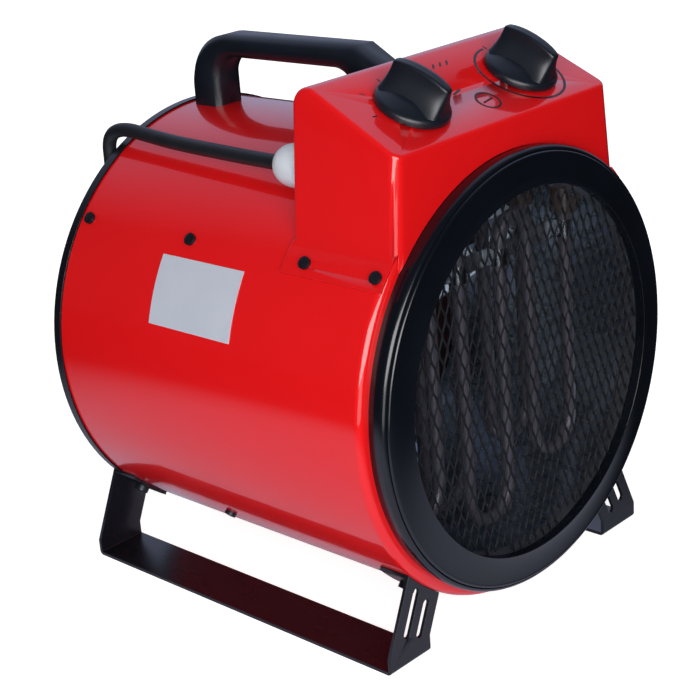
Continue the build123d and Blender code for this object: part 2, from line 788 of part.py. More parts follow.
with BuildPart() as rear_guard:
    with BuildSketch(across(guard_depth + guard_band_width)):
        Circle(band_radius)
        Circle(band_bore, mode=Mode.SUBTRACT)
    extrude(amount=guard_band_width)
    for angle in (cover_screw_angle, 180 - cover_screw_angle):
        hole(radial(angle, guard_screw_depth, band_radius), screw_shank + touch, 3 * guard_band_wall)
    for angle, depth in stand_bolts_at:
        if depth > guard_depth:
            hole(radial(angle, depth, band_radius), bolt_hole, 3 * guard_band_wall)
    for spoke in range(guard_spokes):
        turn = 360 * (spoke + 0.5) / guard_spokes
        pin(radial(turn, spoke_depth, 0), guard_wire, band_bore + guard_band_wall / 2)
    for ring in range(guard_ring_count):
        with Locations(across(spoke_depth + 1.6 * guard_wire)):
            Torus(guard_ring_first + ring * guard_ring_pitch, guard_wire)
    with Locations(across(spoke_depth)):
        Cylinder(guard_ring_first * 0.6, 2.4 * guard_wire)
finish(rear_guard, "rear_guard")

# ======== control box ======================================================================
block_back = box_depth - box_sheet - skin_gap
block_front = block_back - block_width
pole_pitch = block_length / 3
poles = (block_across - pole_pitch, block_across, block_across + pole_pitch)
pole_gaps = (block_across - pole_pitch / 2, block_across + pole_pitch / 2)
cover_plane_reach = 1.5 * drum_radius
flare_reach = hypot(box_flare, 1)
wall_base = box_half_width + box_flare * box_front_height
curb_height = 0.5 * drum_radius                          # below every wall's foot
arch_radius = (bezel_back_radius + fit_gap
               + (bezel_radius - bezel_back_radius) * box_lap / bezel_band_depth)


def wall_at(height, inset=0.0):
    """Half width of the box at a height above the axis, less an inset."""
    return wall_base - box_flare * height - inset * flare_reach


def wall_angle(radius, inset=0.0):
    """Angle from +X where the box's side wall meets a circle about the axis."""
    return degrees(atan2(box_flare, 1) + acos((wall_base - inset * flare_reach) / (flare_reach * radius)))


with BuildPart() as control_cover:
    with BuildSketch(across(box_depth)):
        Polygon((-wall_at(curb_height), curb_height), (wall_at(curb_height), curb_height),
                (wall_at(box_back_height), box_back_height), (-wall_at(box_back_height), box_back_height),
                align=None)
    extrude(amount=box_depth + box_lap)
    with BuildSketch(lathe_plane):
        Polygon((-box_lap, 0), (-box_lap, box_front_height - box_lap * tan(radians(panel_slope))),
                (box_depth, box_back_height), (box_depth, 0), align=None)
    extrude(amount=cover_plane_reach, both=True, mode=Mode.INTERSECT)
    top_face = control_cover.faces().sort_by(Axis.Z)[-1]
    fillet(top_face.edges().sort_by(Axis.Y)[-1], box_back_round)
    front_face = control_cover.faces().sort_by(Axis.Y)[0]
    fillet(front_face.edges().filter_by(lambda edge: abs(edge.tangent_at(0.5).X) < 0.9), box_corner_round)
    top_edges = control_cover.edges().filter_by_position(
        Axis.Z, axis_height + curb_height + 1, axis_height + box_back_height + 1)
    fillet(top_edges.filter_by(lambda edge: abs(edge.tangent_at(0.5).X) < 0.9 and edge.length > 20
                               and edge.center().Y > front_y + box_corner_round), box_edge_round)
    offset(amount=-box_sheet, openings=control_cover.faces().sort_by(Axis.Z)[0])
    for side in (0, 180):
        start, end = box_flange_angle, wall_angle(drum_radius + skin_gap, box_sheet)
        turned = (start, end) if side == 0 else (180 - end, 180 - start)
        with BuildSketch(across(box_depth)):
            add(sector(drum_radius + skin_gap, drum_radius + skin_gap + box_sheet, *turned))
        extrude(amount=box_depth + box_lap - box_sheet)
    with BuildSketch(lathe_plane):
        Rectangle(box_depth + 1 + skin_gap, drum_radius + skin_gap, align=(Align.MIN, Align.MIN))
        with Locations((-2 * box_lap, 0)):
            Rectangle(2 * box_lap + skin_gap, arch_radius, align=(Align.MIN, Align.MIN))
        with Locations((-skin_gap, 0)):
            Rectangle(2 * skin_gap, drum_radius + skin_gap, align=(Align.MIN, Align.MIN))
    revolve(axis=drum_axis, mode=Mode.SUBTRACT)
    for angle in (cover_screw_angle, 180 - cover_screw_angle):
        for depth in cover_screw_depths:
            hole(radial(angle, depth, drum_radius), screw_hole, 4 * box_sheet)
    for side in (-1, 1):
        hole(panel(side * knob_across, knob_up), bush_collar + fit_gap, 3 * box_sheet)
        for offset_across in (-control_screw_offset, control_screw_offset):
            hole(panel(side * knob_across + offset_across, knob_up), screw_shank + touch, 3 * box_sheet)
    with Locations(across(box_depth)):
        with Locations((gland_across, gland_height)):
            Cylinder(gland_thread + skin_gap, 3 * box_sheet, mode=Mode.SUBTRACT)
        with Locations(*[(x, block_level) for x in pole_gaps]):
            Cylinder(screw_shank + touch, 3 * box_sheet, mode=Mode.SUBTRACT)
finish(control_cover, "control_cover")

# ======== switch, thermostat and what turns them ===========================================
control_seat = -(box_sheet + skin_gap)
spindle_reach = collar_stand - control_seat + spindle_depth
sides = (-1, 1)


def control_bush(side):
    """The collar that a control's body sends up through the panel, with its blind bore."""
    pin(panel(side * knob_across, knob_up, control_seat), bush_collar, collar_stand - control_seat)
    with Locations(panel(side * knob_across, knob_up, collar_stand)):
        Cylinder(spindle_radius + running_gap, spindle_reach, align=MAX, mode=Mode.SUBTRACT)
    for shift in (-control_screw_offset, control_screw_offset):
        hole(panel(side * knob_across + shift, knob_up, control_seat), screw_shank + touch, control_screw_length)


with BuildPart() as selector_body:
    with Locations(panel(-knob_across, knob_up, control_seat)):
        Box(switch_size, switch_size, switch_height, align=MAX)
    control_bush(-1)
finish(selector_body, "selector_body")

with BuildPart() as thermostat_body:
    with Locations(panel(knob_across, knob_up, control_seat)):
        Cylinder(thermostat_radius, thermostat_height, align=MAX)
    control_bush(1)
finish(thermostat_body, "thermostat_body")

with BuildPart() as control_screws:
    for side in sides:
        for shift in (-control_screw_offset, control_screw_offset):
            screw(panel(side * knob_across + shift, knob_up), screw_head, screw_head_height,
                  screw_shank, control_screw_length)
finish(control_screws, "control_screws")


def spindle(side):
    """Steel spindle that runs in the collar and carries the knob."""
    with BuildPart() as rod:
        pin(panel(side * knob_across, knob_up, fit_gap + collar_stand - spindle_reach), spindle_radius,
            knob_height - knob_shell - fit_gap - collar_stand + spindle_reach)
    return rod


selector_spindle = spindle(-1)
finish(selector_spindle, "selector_spindle")
thermostat_spindle = spindle(1)
finish(thermostat_spindle, "thermostat_spindle")


def knob(side, rest):
    """Moulded knob: a low hollow skirt and a grip that narrows to a straight ridge."""

    def level(rise):
        return panel(side * knob_across, knob_up, rise, rest)

    with BuildPart() as body:
        with BuildSketch(level(knob_rise)):
            Circle(knob_radius)
        extrude(amount=knob_skirt, taper=9)
        with BuildSketch(level(knob_rise + 0.8 * knob_skirt)):
            RectangleRounded(grip_width, grip_length, 0.4 * grip_width)
        with BuildSketch(level(knob_height)):
            RectangleRounded(ridge_width, ridge_length, 0.4 * ridge_width)
        loft()
        top = body.faces().sort_by(Axis(level(0).origin, level(0).z_dir))[-1]
        fillet(top.edges(), 0.16 * ridge_width)
        with BuildSketch(level(knob_rise)):
            Circle(knob_radius - knob_shell)
            Circle(knob_boss, mode=Mode.SUBTRACT)
        extrude(amount=knob_skirt - knob_shell, mode=Mode.SUBTRACT)
        with BuildSketch(level(knob_rise)):
            Circle(knob_boss)
        extrude(amount=collar_stand + fit_gap - knob_rise, mode=Mode.SUBTRACT)
        with Locations(level(knob_rise)):
            Cylinder(spindle_radius + touch, knob_height - knob_shell - knob_rise, align=MIN,
                     mode=Mode.SUBTRACT)
        with Locations(level(knob_height)):
            with Locations((0, (ridge_length - pointer_length) / 2)):
                Box(pointer_width, pointer_length, pointer_width, mode=Mode.SUBTRACT)
    return body


selector_knob = knob(-1, selector_rest)
finish(selector_knob, "selector_knob")
thermostat_knob = knob(1, thermostat_rest)
finish(thermostat_knob, "thermostat_knob")

# ======== cable gland, terminal block and inner wiring =====================================
def behind_wall(depth):
    """Plane at the gland whose normal points to the rear."""
    return Plane(origin=(gland_across, front_y + depth, axis_height + gland_height),
                 x_dir=(1, 0, 0), z_dir=(0, 1, 0))


gland_face = box_depth + skin_gap
gland_end = gland_face + gland_hex + gland_dome

with BuildPart() as cable_gland:
    with BuildSketch(behind_wall(gland_face)):
        RegularPolygon(1.12 * gland_radius, 6)
    extrude(amount=gland_hex)
    with BuildSketch(behind_wall(gland_face + gland_hex)):
        Circle(gland_radius)
    with BuildSketch(behind_wall(gland_face + gland_hex + 0.55 * gland_dome)):
        Circle(0.9 * gland_radius)
    loft(ruled=True)
    with BuildSketch(behind_wall(gland_face + gland_hex + 0.55 * gland_dome)):
        Circle(0.9 * gland_radius)
    with BuildSketch(behind_wall(gland_end)):
        Circle(0.54 * gland_radius)
    loft(ruled=True)
    with Locations(behind_wall(gland_face)):
        Cylinder(gland_thread, gland_thread_length, align=MAX)
        Cylinder(gland_bore, 4 * gland_dome, mode=Mode.SUBTRACT)
finish(cable_gland, "cable_gland")

with BuildPart() as gland_nut:
    with BuildSketch(behind_wall(box_depth - box_sheet - skin_gap - gland_hex)):
        RegularPolygon(1.12 * gland_radius, 6)
        Circle(gland_thread + touch, mode=Mode.SUBTRACT)
    extrude(amount=gland_hex)
finish(gland_nut, "gland_nut")



def facing_wall(x, height):
    """Plane on the front of the terminal block, its normal pointing to the outlet."""
    return Plane(origin=(x, front_y + block_front, axis_height + height), x_dir=(1, 0, 0), z_dir=(0, -1, 0))


with BuildPart() as terminal_block:
    with Locations(facing_wall(block_across, block_level)):
        Box(block_length, block_height, block_width, align=MAX)
    for x in poles:
        for depth in (block_front + 0.3 * block_width, block_back - 0.3 * block_width):
            hole(upright(x, depth, block_level + block_height / 2), clamp_radius + fit_gap, block_height / 3)
    for x in pole_gaps:
        hole(facing_wall(x, block_level), screw_shank + touch, block_width + 1)
finish(terminal_block, "terminal_block")

with BuildPart() as block_screws:
    for x in poles:
        for depth in (block_front + 0.3 * block_width, block_back - 0.3 * block_width):
            pin(upright(x, depth, block_level + block_height / 6), clamp_radius, block_height / 4)
    for x in pole_gaps:
        screw(facing_wall(x, block_level), screw_head, screw_head_height, screw_shank,
              block_width + skin_gap + box_sheet)
finish(block_screws, "block_screws")

# Flat links join the two elements at each side; a nut clamps each end.
link_level = sheath_top + insulator_length + stud_radius

with BuildPart() as terminal_links:
    for side in sides:
        middle = sum(element_depths) / 2
        with Locations(upright(side * outer_leg, middle, link_level)):
            Box(link_width, element_depths[1] - element_depths[0] + link_width, link_sheet, align=MIN)
    for x, depth in terminals_at:
        hole(upright(x, depth, link_level), stud_radius + skin_gap, 2 * link_sheet)
finish(terminal_links, "terminal_links")

with BuildPart() as terminal_nuts:
    for x, depth in terminals_at:
        with BuildSketch(upright(x, depth, link_level + link_sheet)):
            RegularPolygon(terminal_nut, 6)
            Circle(stud_radius + touch, mode=Mode.SUBTRACT)
        extrude(amount=terminal_nut_height)
finish(terminal_nuts, "terminal_nuts")


def tube(places, radius):
    """Tube along straight runs and tangent arcs through places across, behind the front and up."""
    points = [upright(*place).origin for place in places]
    turns = []
    with BuildPart() as piece:
        with BuildLine() as route:
            start = points[0]
            for before, corner, after in zip(points, points[1:], points[2:]):
                entry, leave = corner - before, after - corner
                reach = arc_share * min(entry.length, leave.length)
                turns.append(reach / tan(radians(entry.get_angle(leave)) / 2))
                Line(start, corner - entry.normalized() * reach)
                TangentArc([corner - entry.normalized() * reach, corner + leave.normalized() * reach],
                           tangent=entry)
                start = corner + leave.normalized() * reach
            Line(start, points[-1])
        with BuildSketch(Plane(origin=points[0], z_dir=points[1] - points[0])):
            Circle(radius)
        sweep()
    length = sum(edge.length for edge in route.edges())
    print("tube", round(length, 1), "volume share", round(piece.part.volume / (pi * radius**2 * length), 4),
          "radii", [round(turn, 1) for turn in turns])
    return piece, length


# Three cores go from the cord's end to the block, one wire to the motor and one to each side's
# link, all of them through the box or the grommet.
core_ring = 1.6
core_lines = (42.0, 38.5, 35.0)
core_level = drum_radius + 1.0
lead_level = drum_radius + 13.0
duct_space = duct_radius + 7.5      # height of the wires between duct and drum
lead_routes = []
for number, (x, depth) in enumerate(zip(poles, core_lines)):
    start = polar(core_ring, 120 * number)
    lead_routes.append([(gland_across + start[0], tail_depth, gland_height + start[1]),
                        (gland_across + start[0], depth, gland_height + start[1]),
                        (x, depth, core_level), (x, block_front - 2 * fit_gap, block_level)])
lead_routes.append([(-outer_leg, 40, link_level + link_sheet), (-outer_leg, 40, lead_level),
                    (-knob_across - switch_size / 2 - fit_gap, 39, lead_level + 0.5)])
lead_routes.append([(outer_leg, 34, link_level + link_sheet), (outer_leg, 34, lead_level + 1),
                    (knob_across + thermostat_radius + fit_gap, 31, lead_level + 1.5)])
motor_lead_route = [(fit_gap - knob_across + switch_size / 2, 36, lead_level - 1), (-6, 36.5, lead_level - 1.5),
                    (-3.5, wire_hole_depth, drum_radius - 4), (-9, 46, duct_space), (-21, 66, duct_space + 0.5),
                    (-22, 100, duct_space - 0.5), (-21, 132, duct_space), (-16, 156, 108), (-6, 168, 84),
                    (0, 171, motor_radius + 20),
                    (0, 171, motor_radius + fit_gap)]

lead_pieces = [tube(route, core_radius)[0] for route in lead_routes]
lead_pieces.append(tube(motor_lead_route, motor_lead_radius)[0])
with BuildPart() as inner_leads:
    for piece in lead_pieces:
        add(piece.part)
finish(inner_leads, "inner_leads")

with BuildPart() as wire_grommet:
    with Locations(upright(0, wire_hole_depth, drum_radius + skin_gap)):
        Cylinder(wire_hole_radius + 4, grommet_flange, align=MIN)
        Cylinder(wire_hole_radius - fit_gap, 5 * drum_wall, align=MAX)
    with Locations(upright(0, wire_hole_depth, drum_radius + skin_gap - 3 * drum_wall)):
        Cylinder(wire_hole_radius + 2, grommet_flange, align=MAX)
    hole(upright(0, wire_hole_depth, drum_radius), wire_hole_radius - 4, 3 * wire_hole_radius)
finish(wire_grommet, "wire_grommet")

# The thermostat feels the air by a bulb at the rear, on the end of a thin copper capillary.
bulb_circle = drum_bore - bulb_inset
bulb_x, bulb_height = polar(bulb_circle, bulb_angle)
capillary_route = [(knob_across - thermostat_radius - fit_gap, 30, lead_level - 1), (8, 32, lead_level - 1.5),
                   (4, 37, drum_radius - 2), (8, 45, duct_space + 1), (24, 70, duct_space - 0.5),
                   (bulb_x, 110, bulb_height), (bulb_x, bulb_depth, bulb_height)]
capillary = tube(capillary_route, capillary_radius)[0]

with BuildPart() as thermostat_bulb:
    add(capillary.part)
    with Locations(across(bulb_depth + bulb_length)):
        with Locations((bulb_x, bulb_height)):
            Cylinder(bulb_radius, bulb_length, align=MIN)
finish(thermostat_bulb, "thermostat_bulb")

with BuildPart() as bulb_clip:
    with BuildSketch(across(bulb_depth + 0.6 * bulb_length)):
        with Locations((bulb_x, bulb_height)):
            Circle(bulb_radius + clip_sheet + touch)
        with Locations(Location((0, 0), bulb_angle)):
            with Locations((bulb_circle + bulb_radius, 0)):
                Rectangle(drum_radius, clip_sheet, align=(Align.MIN, Align.CENTER))
        Circle(drum_bore - touch, mode=Mode.INTERSECT)
        with Locations((bulb_x, bulb_height)):
            Circle(bulb_radius + touch, mode=Mode.SUBTRACT)
    extrude(amount=0.25 * bulb_length)
finish(bulb_clip, "bulb_clip")

# ======== handle ===========================================================================
with BuildPart() as handle:
    foot = 0.8 * drum_radius
    with BuildSketch(lathe_plane):
        with BuildLine():
            Line((handle_front, foot), (handle_front, handle_top - handle_nose_drop))
            Line((handle_front, handle_top - handle_nose_drop), (handle_front + handle_nose_run, handle_top))
            Line((handle_front + handle_nose_run, handle_top), (handle_back - handle_outer_round, handle_top))
            CenterArc((handle_back - handle_outer_round, handle_top - handle_outer_round),
                      handle_outer_round, 0, 90)
            Line((handle_back, handle_top - handle_outer_round), (handle_back, foot))
            Line((handle_back, foot), (handle_back - handle_back_leg, foot))
            Line((handle_back - handle_back_leg, foot),
                 (handle_back - handle_back_leg, handle_under - handle_inner_round))
            CenterArc((handle_back - handle_back_leg - handle_inner_round, handle_under - handle_inner_round),
                      handle_inner_round, 0, 90)
            Line((handle_back - handle_back_leg - handle_inner_round, handle_under),
                 (handle_front + handle_front_leg + handle_inner_round, handle_under))
            CenterArc((handle_front + handle_front_leg + handle_inner_round, handle_under - handle_inner_round),
                      handle_inner_round, 90, 90)
            Line((handle_front + handle_front_leg, handle_under - handle_inner_round),
                 (handle_front + handle_front_leg, foot))
            Line((handle_front + handle_front_leg, foot), (handle_front, foot))
        make_face()
    extrude(amount=handle_width / 2, both=True)
    rims = handle.edges().filter_by_position(Axis.X, -handle_width / 2, -handle_width / 2 + 0.01) \
        + handle.edges().filter_by_position(Axis.X, handle_width / 2 - 0.01, handle_width / 2)
    chamfer(rims.filter_by(lambda edge: edge.center().Z > axis_height + foot + 1), handle_chamfer)
    with BuildSketch(across(overall_depth)):
        Circle(drum_radius + skin_gap)
    extrude(amount=overall_depth, mode=Mode.SUBTRACT)
    for x, depth in handle_screws_at:
        with Locations(upright(x, depth, drum_bore)):
            Cylinder(screw_shank + touch, handle_screw_length, align=MIN, mode=Mode.SUBTRACT)
finish(handle, "handle")

with BuildPart() as handle_screws:
    seat = sqrt(drum_bore**2 - (handle_screw_across + screw_head)**2)
    for x, depth in handle_screws_at:
        place = Plane(origin=upright(x, depth, seat).origin, x_dir=(1, 0, 0), z_dir=(0, 0, -1))
        screw(place, screw_head, screw_head_height, screw_shank, handle_screw_length)
finish(handle_screws, "handle_screws")

# ======== stands ===========================================================================
def strip_outline(side):
    """Outline of a stand's upright on its section plane: straight up, then leaning inwards."""
    rise = 0.6 * drum_radius
    foot, knee = -axis_height, strip_foot_height
    corners = [(strip_inner, foot), (strip_outer, foot), (strip_outer, knee),
               (strip_outer - lean_run * rise, knee + rise), (strip_inner - lean_run * rise, knee + rise),
               (strip_inner, knee)]
    return [(side * x, height) for x, height in corners]


def stand(side):
    """One strip bent into a floor rail, two leaning uprights and two flanges under the drum."""
    with BuildPart() as strip:
        for depth in (strip_front + strip_thickness, strip_back):
            with BuildSketch(across(depth)):
                Polygon(*strip_outline(side), align=None)
                Circle(drum_radius + skin_gap, mode=Mode.SUBTRACT)
                if depth < strip_back:
                    for length, level, edge, inset in (
                            (outer_slot, outer_slot_height, strip_outer, -slot_inset),
                            (inner_slot, inner_slot_height, strip_inner, slot_inset)):
                        x = edge - lean_run * (level - strip_upright) + inset
                        with Locations((side * x, level - axis_height)):
                            SlotOverall(length, slot_width, rotation=90 + side * strip_lean, mode=Mode.SUBTRACT)
            extrude(amount=strip_thickness)
        for depth in (strip_front + strip_flange, strip_back):
            with BuildSketch(across(depth)):
                Polygon(*strip_outline(side), align=None)
                Circle(drum_radius + skin_gap, mode=Mode.SUBTRACT)
                Circle(drum_radius + skin_gap + strip_thickness, mode=Mode.INTERSECT)
            extrude(amount=strip_flange)
        with Locations(upright(side * (strip_inner + strip_outer) / 2, (strip_front + strip_back) / 2,
                               -axis_height)):
            Box(strip_width, strip_back - strip_front, strip_thickness, align=MIN)
        ends = strip.edges().filter_by(Axis.X)
        fillet(ends.filter_by_position(Axis.Z, -0.01, 0.01), bend_radius)
        corners = strip.edges().filter_by(Axis.X)
        fillet(corners.filter_by_position(Axis.Z, strip_thickness - 0.01, strip_thickness + 0.01),
               bend_radius - strip_thickness)
        for angle, depth in stand_bolts_at:
            if cos(radians(angle)) * side > 0:
                hole(radial(angle, depth, drum_radius), bolt_hole, 3 * strip_thickness)
    return strip


stand_left = stand(-1)
finish(stand_left, "stand_left")
stand_right = stand(1)
finish(stand_right, "stand_right")

flange_outside = drum_radius + skin_gap + strip_thickness

with BuildPart() as stand_bolts:
    for angle, depth in stand_bolts_at:
        screw(radial(angle, depth, flange_outside), bolt_head, bolt_head_height, bolt_shank,
              flange_outside - band_bore + nut_height + 2)
finish(stand_bolts, "stand_bolts")

with BuildPart() as stand_nuts:
    for angle, depth in stand_bolts_at:
        nut_seat = band_bore if depth > guard_depth else drum_bore
        with BuildSketch(radial(angle, depth, nut_seat - skin_gap - nut_height)):
            RegularPolygon(nut_radius, 6)
            Circle(bolt_shank + touch, mode=Mode.SUBTRACT)
        extrude(amount=nut_height)
finish(stand_nuts, "stand_nuts")

# ======== screws of the drum and the cover, rating plate ===================================
with BuildPart() as drum_screws:
    for angle in bracket_angles:
        screw(radial(angle, bracket_screw_depth, drum_radius), screw_head, screw_head_height,
              screw_shank, drum_wall + bracket_sheet + 3)
    for angle in (cover_screw_angle, 180 - cover_screw_angle):
        screw(radial(angle, guard_screw_depth, drum_radius), screw_head, screw_head_height,
              screw_shank, drum_wall + guard_band_wall + 3)
finish(drum_screws, "drum_screws")

with BuildPart() as cover_screws:
    for angle in (cover_screw_angle, 180 - cover_screw_angle):
        for depth in cover_screw_depths:
            screw(radial(angle, depth, drum_radius + skin_gap + box_sheet), screw_head,
                  screw_head_height, screw_shank, box_sheet + drum_wall + 3)
finish(cover_screws, "cover_screws")

with BuildPart() as rating_plate:
    with BuildSketch(across(plate_depths[1])):
        add(sector(drum_radius + skin_gap, drum_radius + skin_gap + plate_thickness, *plate_angles))
    extrude(amount=plate_depths[1] - plate_depths[0])
finish(rating_plate, "rating_plate")

# ======== cord, coil and plug ==============================================================
# The cord leaves the gland, lies over the drum, turns down over its rear edge, reaches the floor
# and is wound into a coil there. Places are across, behind the front and above the axis.
floor_level = cord_radius - axis_height
coil_front = coil_depth - coil_radius
cord_route = [
    (gland_across, tail_depth, gland_height), (gland_across, 112, gland_height),
    (gland_across + 6, 163, gland_height + 4.8), (gland_across + 11.5, 207, gland_height + 5.2),
    (-61, 233, drum_radius - 1.8), (-60, 250.5, drum_radius - 5.5), (-59.6, 261.5, drum_radius - 17.5),
    (-59, 263.5, 93), (-56.5, 263, 64), (-50.5, 262.5, 24), (-44.5, 262, -18), (-38, 262, -56),
    (-27, 264, -90), (-8, 268, -117), (23, coil_front, floor_level),
    (coil_across - 2 * cord_radius, coil_front, floor_level)]

cord_run, run_length = tube(cord_route, cord_radius)
finish(cord_run, "cord_run")

# Two layers of half turns: inwards on the floor, up in the half turn between, outwards on top.
# Each half turn is half a step smaller or larger than the one before, so it starts where that ends.
half_turns = [coil_radius - coil_step * number / 2 for number in range(coil_turns + 1)]
half_turns += half_turns[-2:0:-1]


def coil_place(x, y, level):
    """Point of the coil from its own axes: x points to the outlet's side, y across, level up."""
    return Vector(coil_across + y, front_y + coil_depth - x, cord_radius + level)


with BuildPart() as cord_coil:
    with BuildLine() as coil_route:
        Line(coil_place(coil_radius, -2 * cord_radius, 0), coil_place(coil_radius, 0, 0))
        x, way, level = coil_radius, 1, 0
        for number, turn in enumerate(half_turns):
            climb = coil_rise if number == coil_turns else 0
            start = coil_place(x, 0, level)
            end = coil_place(x - 2 * way * turn, 0, level + climb)
            bulge = hypot(turn, climb / 2)
            crest = coil_place(x - way * turn, way * bulge, level + climb / 2)
            tangent = coil_place(0, way, 0) - coil_place(0, 0, 0)
            TangentArc([start, crest], tangent=tangent)
            TangentArc([crest, end], tangent=end - start)
            x, way, level = x - 2 * way * turn, -way, level + climb
        Line(coil_place(coil_radius, 0, coil_rise), coil_place(coil_radius, coil_end, coil_rise))
    with BuildSketch(Plane(origin=coil_place(coil_radius, -2 * cord_radius, 0), z_dir=(1, 0, 0))):
        Circle(cord_radius)
    sweep()
finish(cord_coil, "cord_coil")

coil_wire = coil_route.wires()[0]
coil_length = coil_wire.length
samples = int(coil_length / 2)
coil_points = [coil_wire @ (number / samples) for number in range(samples + 1)]
apart = int(2 * half_turns[coil_turns] * samples / coil_length)
least_gap = min((coil_points[first] - coil_points[second]).length
                for first in range(samples - apart) for second in range(first + apart, samples + 1))
print("coil", round(coil_length, 1), "least gap", round(least_gap - 2 * cord_radius, 2), "volume share",
      round(cord_coil.part.volume / (pi * cord_radius**2 * coil_length), 4))
print("cord in all", round(run_length + coil_length, 1))

plug_start = coil_across + coil_end
plug_y = front_y + coil_front


def cord_side(x, height):
    """Plane square to the cord's last stretch, its normal pointing along the cord."""
    return Plane(origin=(x, plug_y, height), x_dir=(0, 1, 0), z_dir=(1, 0, 0))


with BuildPart() as plug_body:
    with BuildSketch(Plane(origin=(plug_start + plug_relief + plug_length / 2, plug_y, 0))):
        RectangleRounded(plug_length, plug_width, plug_round)
    extrude(amount=plug_thickness)
    fillet(plug_body.faces().sort_by(Axis.Z)[-1].edges(), 0.3 * plug_round)
    with BuildSketch(cord_side(plug_start, cord_radius + coil_rise)):
        Circle(cord_radius)
    with BuildSketch(cord_side(plug_start + plug_relief + 1, plug_thickness / 2)):
        Circle(0.4 * plug_thickness)
    loft()
    for (side, along), (width, length) in zip(pin_places, pin_sizes):
        with Locations((plug_start + plug_relief + plug_length / 2 + along, plug_y + side, plug_thickness)):
            Box(length, width, 2 * pin_root, mode=Mode.SUBTRACT)
finish(plug_body, "plug_body")

with BuildPart() as plug_pins:
    for (side, along), (width, length) in zip(pin_places, pin_sizes):
        with Locations((plug_start + plug_relief + plug_length / 2 + along, plug_y + side,
                        plug_thickness - pin_root)):
            Box(length, width, pin_root + pin_length, align=MIN)
    fillet(plug_pins.faces().group_by(Axis.Z)[-1].edges(), 0.8)
finish(plug_pins, "plug_pins")
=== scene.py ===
"""Drum-type forced air heater, dressed for rendering.

Metres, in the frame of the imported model: X across, the outlet faces -Y, Z up from the floor.
"depth" is the distance behind the front face of the drum, "height" the distance above its axis.
Profiles and routes are lists in millimetres.
"""
import bpy
import bmesh
import json
import numpy as np
from math import cos, pi, radians, sin
from mathutils import Matrix, Vector

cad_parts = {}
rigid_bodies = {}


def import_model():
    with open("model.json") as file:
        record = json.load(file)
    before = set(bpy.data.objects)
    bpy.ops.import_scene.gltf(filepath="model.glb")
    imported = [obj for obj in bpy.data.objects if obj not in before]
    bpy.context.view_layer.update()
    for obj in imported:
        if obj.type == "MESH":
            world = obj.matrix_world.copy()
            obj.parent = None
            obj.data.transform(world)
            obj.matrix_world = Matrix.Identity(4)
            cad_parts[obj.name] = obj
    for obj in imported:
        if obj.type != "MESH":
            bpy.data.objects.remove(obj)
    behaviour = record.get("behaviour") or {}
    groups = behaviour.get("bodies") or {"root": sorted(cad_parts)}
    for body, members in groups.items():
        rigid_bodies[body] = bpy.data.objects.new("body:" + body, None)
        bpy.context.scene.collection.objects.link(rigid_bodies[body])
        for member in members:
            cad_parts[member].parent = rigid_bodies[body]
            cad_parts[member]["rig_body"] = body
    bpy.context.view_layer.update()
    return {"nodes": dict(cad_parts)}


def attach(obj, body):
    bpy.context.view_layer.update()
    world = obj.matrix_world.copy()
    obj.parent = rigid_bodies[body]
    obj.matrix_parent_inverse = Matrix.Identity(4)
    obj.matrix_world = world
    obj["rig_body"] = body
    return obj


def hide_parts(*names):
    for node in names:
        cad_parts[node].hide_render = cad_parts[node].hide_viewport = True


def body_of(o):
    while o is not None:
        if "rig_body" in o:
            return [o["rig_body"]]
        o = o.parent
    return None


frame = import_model()

# ---- camera ----------------------------------------------------------------------------------
# A long lens at the front left, a little above the heater and tilted a few degrees. Its place is
# counted from the front face of the drum and from the drum's axis, as the pieces' places are.
mm = 0.001
front = -116.55 * mm
axis = 139.6 * mm
camera_place = Vector((-691.6 * mm, -536.0 * mm + front, 347.5 * mm + axis))
camera_target = Vector((-49.1 * mm, 140.9 * mm + front, 22.4 * mm + axis))
camera_tilt = -0.094
camera_data = bpy.data.cameras.new("camera")
camera_data.lens = 86.98
camera_data.sensor_width = 36.0
camera_data.shift_x = 0.1137
camera_data.shift_y = -0.0551
camera = bpy.data.objects.new("camera", camera_data)
bpy.context.scene.collection.objects.link(camera)
camera_back = (camera_place - camera_target).normalized()
level_right = Vector((0, 0, 1)).cross(camera_back).normalized()
level_up = camera_back.cross(level_right)
camera_right = level_right * cos(camera_tilt) + level_up * sin(camera_tilt)
camera_up = level_up * cos(camera_tilt) - level_right * sin(camera_tilt)
camera.matrix_world = Matrix.Translation(camera_place) @ Matrix(
    (camera_right, camera_up, camera_back)).transposed().to_4x4()
bpy.context.scene.camera = camera
bpy.context.scene.view_settings.view_transform = "Standard"


# ---- cord --------------------------------------------------------------------------------------
# Three-core rubber cord, 8.5 mm. It leaves the gland, lies over the drum, turns down over the rear
# edge and is wound into a flat two-layer coil on the floor behind, as for storage.
# Vulcanised rubber: black-grey, dull, with a little talc in its fine grain.
def tone(code):
    """sRGB hex colour turned to linear: a dark part is divided by 12.92, the rest follows the power 2.4."""
    parts = [int(code[place:place + 2], 16) / 255 for place in (0, 2, 4)]
    return (*[part / 12.92 if part <= 0.04045 else ((part + 0.055) / 1.055) ** 2.4 for part in parts], 1.0)


def node(owner, kind, sockets=None, **settings):
    """Adds a shader node: settings are its properties, sockets its values or the outputs that feed it."""
    tree = owner.node_tree
    made = tree.nodes.new("ShaderNode" + kind)
    for name, value in settings.items():
        setattr(made, name, value)
    for name, value in (sockets or {}).items():
        if isinstance(value, bpy.types.NodeSocket):
            tree.links.new(value, made.inputs[name])
        else:
            made.inputs[name].default_value = value
    return made


